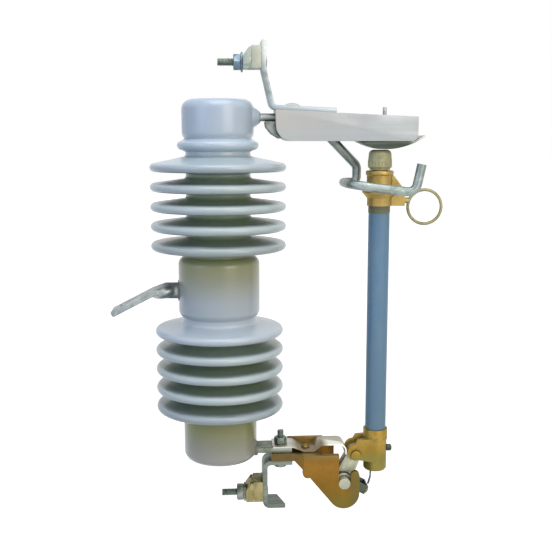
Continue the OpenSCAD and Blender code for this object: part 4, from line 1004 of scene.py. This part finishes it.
# %% Clamp screw with a slot
slotted_screw = dome("slotted_screw", r=3.6, high=5.6, skirt=4.2)
shaft = washer("screw_shaft", outer=2.5, inner=0.3, thick=2)
shaft.location = (0, 0, -1.4 * MM)
settle(shaft)
slot_cutter = added(bpy.ops.mesh.primitive_cube_add, "slot_cutter", size=MM, location=(0, 0, 5.2 * MM))
slot_cutter.scale = (12, 1.1, 2.6)
apply_modifier(slotted_screw, "BOOLEAN", operation="DIFFERENCE", solver="EXACT", object=slot_cutter)
bpy.data.objects.remove(slot_cutter)
slotted_screw = stand(joined(slotted_screw, shaft), at(TUBE_X + 12.8, 0, -173.6), (1, 0, 0))
hand_over(slotted_screw, HOLDER, black_steel, "galvanised_steel", "ferrule_screw")

# %% [markdown]
# The fuse link runs down through the tube and out to the flipper. Its tail is a strand of seven wires: one
# straight in the middle and six that wind round it, each a rod along its own winding path. A flat button
# ends it at the top, and a nut on the flipper holds it at the bottom.

# %% Fuse link and its tail
BUTTON_Z = 139
WINDING_R = 0.75
LAY = 9
STEP = 0.8
AWAY = Vector((0, 1, 0))
link_corners = [(TUBE_X, 0, BUTTON_Z), (TUBE_X, 0, -184.6), (162.5, 0, -198.6), (162.5, 0, -205.6),
                (159.8, 0, -215)]
link_path = bent(link_corners, (12, 6, 3), 6)
link_core = rod("link_core", link_path, thickness=1.0, sides=2)
tail = link_path[1:]
strands = []
for k in range(6):
    winding = []
    turn = k * math.pi / 3
    for start, end in zip(tail, tail[1:]):
        across = (end - start).normalized().cross(AWAY)
        count = max(1, round((end - start).length / STEP))
        for i in range(count):
            turn += STEP / LAY * 2 * math.pi
            swing = WINDING_R * (math.cos(turn) * AWAY + math.sin(turn) * across)
            winding.append(start + i / count * (end - start) + swing)
    strands.append(rod("strand_%d" % k, winding, thickness=0.85, sides=1))
button = stand(dome("link_button", r=7.4, high=1.5, skirt=1.0), at(TUBE_X, 0, BUTTON_Z), (0, 0, 1))
stranded_link = joined(link_core, button, *strands)
hand_over(stranded_link, HOLDER, strand, "link_cable", "fuse_link")
FLIP = math.radians(27)
tail_end = at(155.5, 0, -219.9)
tail_way = (math.cos(FLIP), 0, -math.sin(FLIP))
link_nut = stand(nut("link_nut", across=7, thick=4, bore_r=1.5), tail_end, tail_way)
link_tip = stand(dome("link_tip", r=1.6, high=5, skirt=4.4), tail_end, tail_way)
hand_over(joined(link_nut, link_tip), HOLDER, olive_brass, "pale_brass", "tail_nut")

# %% [markdown]
# The stud in the head's side is a plain round bar, half hidden by its cement and its gusset. The CAD solid
# shows as it is, and only gets the zinc finish.

# %% Stud that stays as it is
slots = frame["nodes"]["upper_stud"].data.materials
slots.clear()
slots.append(galvanised)
print("every solid has its finish")

# %% [markdown]
# ## Light and ground
# The photograph has a white ground and soft light. A pale floor lies well below the part, as the part hangs
# on a pole, and low enough to clear the holder when it has dropped out. To the camera, and in reflections,
# floor and sky are both white, so no horizon shows. The floor also has a share of plain matt paper in it,
# near the part only, and that share takes the part's shadow. All other rays see a dim sky and the lamps, so
# the part isn't lit by its own background.

# %% Floor
FLOOR_DROP = 0.36
SHADOW_NEAR = 0.25
SHADOW_FAR = 0.8
PURE_WHITE = (1, 1, 1, 1)
floor_z = cad_box[0][2] - FLOOR_DROP
floor = added(bpy.ops.mesh.primitive_plane_add, "studio_floor", size=30, location=(0, 0, floor_z))


def is_seen(tree):
    """One for rays that look at the background: from the camera, mirrored or refracted."""
    path = add(tree, "ShaderNodeLightPath")
    seen = add(tree, "ShaderNodeMath", {0: path.outputs["Is Camera Ray"], 1: path.outputs["Is Glossy Ray"]},
               operation="MAXIMUM")
    seen = add(tree, "ShaderNodeMath", {0: seen.outputs[0], 1: path.outputs["Is Transmission Ray"]},
               operation="MAXIMUM")
    return seen.outputs[0]


paper = bpy.data.materials.new("pale_paper")
tree = emptied(paper)
place = add(tree, "ShaderNodeTexCoord").outputs["Object"]
from_part = add(tree, "ShaderNodeMapping", {"Vector": place, "Location": (-AXIS_X - 60 * MM, 0, 0)})
far_off = add(tree, "ShaderNodeVectorMath", {0: from_part.outputs[0]}, operation="LENGTH")
bare = add(tree, "ShaderNodeMapRange",
           {"Value": far_off.outputs["Value"], "From Min": SHADOW_NEAR, "From Max": SHADOW_FAR,
            "To Min": 0.86, "To Max": 1.0}, interpolation_type="SMOOTHSTEP")
glow_power = add(tree, "ShaderNodeMath", {0: bare.outputs[0], 1: is_seen(tree)}, operation="MULTIPLY")
matt = add(tree, "ShaderNodeBsdfDiffuse", {"Color": tint("#B4B4B4")})
glow = add(tree, "ShaderNodeEmission", {"Color": PURE_WHITE, "Strength": glow_power.outputs[0]})
both = add(tree, "ShaderNodeAddShader", {0: matt.outputs[0], 1: glow.outputs[0]})
add(tree, "ShaderNodeOutputMaterial", {"Surface": both.outputs[0]})
floor.data.materials.append(paper)
print("floor at z =", round(floor_z, 3))

# %% [markdown]
# The sky gives a dim, slightly blue light, as an overcast one does. Where it is looked at, it is plain white.

# %% Sky
sky = bpy.data.worlds.new("studio_sky")
bpy.context.scene.world = sky
tree = emptied(sky)
dim = add(tree, "ShaderNodeBackground", {"Color": tint("#DCE8F6"), "Strength": 0.40})
white = add(tree, "ShaderNodeBackground", {"Color": PURE_WHITE, "Strength": 1.0})
both = add(tree, "ShaderNodeMixShader", {0: is_seen(tree), 1: dim.outputs[0], 2: white.outputs[0]})
add(tree, "ShaderNodeOutputWorld", {"Surface": both.outputs[0]})
print("sky:", sky.name)

# %% [markdown]
# Three soft lamps light the part. The largest hangs overhead and to the front and gives the long highlight on
# every shed. A slightly warm one stands to the right, and a weak bluish one to the left, because the left
# side of the photographed part looks cooler and darker than the right.

# %% Lamps


def lamp(name, place, size, power, colour):
    """A square soft lamp that faces the middle of the part."""
    away = Vector(place) - at(60, 0, 15)
    made = added(bpy.ops.object.light_add, name, type="AREA", location=place,
                 rotation=away.to_track_quat("Z", "Y").to_euler())
    made.data.size = size
    made.data.energy = power
    made.data.color = tint(colour)[:3]


lamp("overhead_softbox", (AXIS_X + 0.1, -0.5, 1.5), size=1.2, power=16, colour="#F6F9FF")
lamp("right_softbox", (AXIS_X + 0.9, -1.4, 0.5), size=1.0, power=11.5, colour="#FFF4E6")
lamp("left_softbox", (AXIS_X - 1.2, -0.9, 0.5), size=0.8, power=4.6, colour="#AECBFF")
bpy.context.scene.view_settings.view_transform = "Standard"

# %% [markdown]
# ## The CAD box
# The box of the CAD solids, taken before anything was dressed, is printed. The dressed part may stand only a
# little proud of the CAD box.

# %% Print the CAD box
print("CAD box", [[round(v, 4) for v in corner] for corner in cad_box])
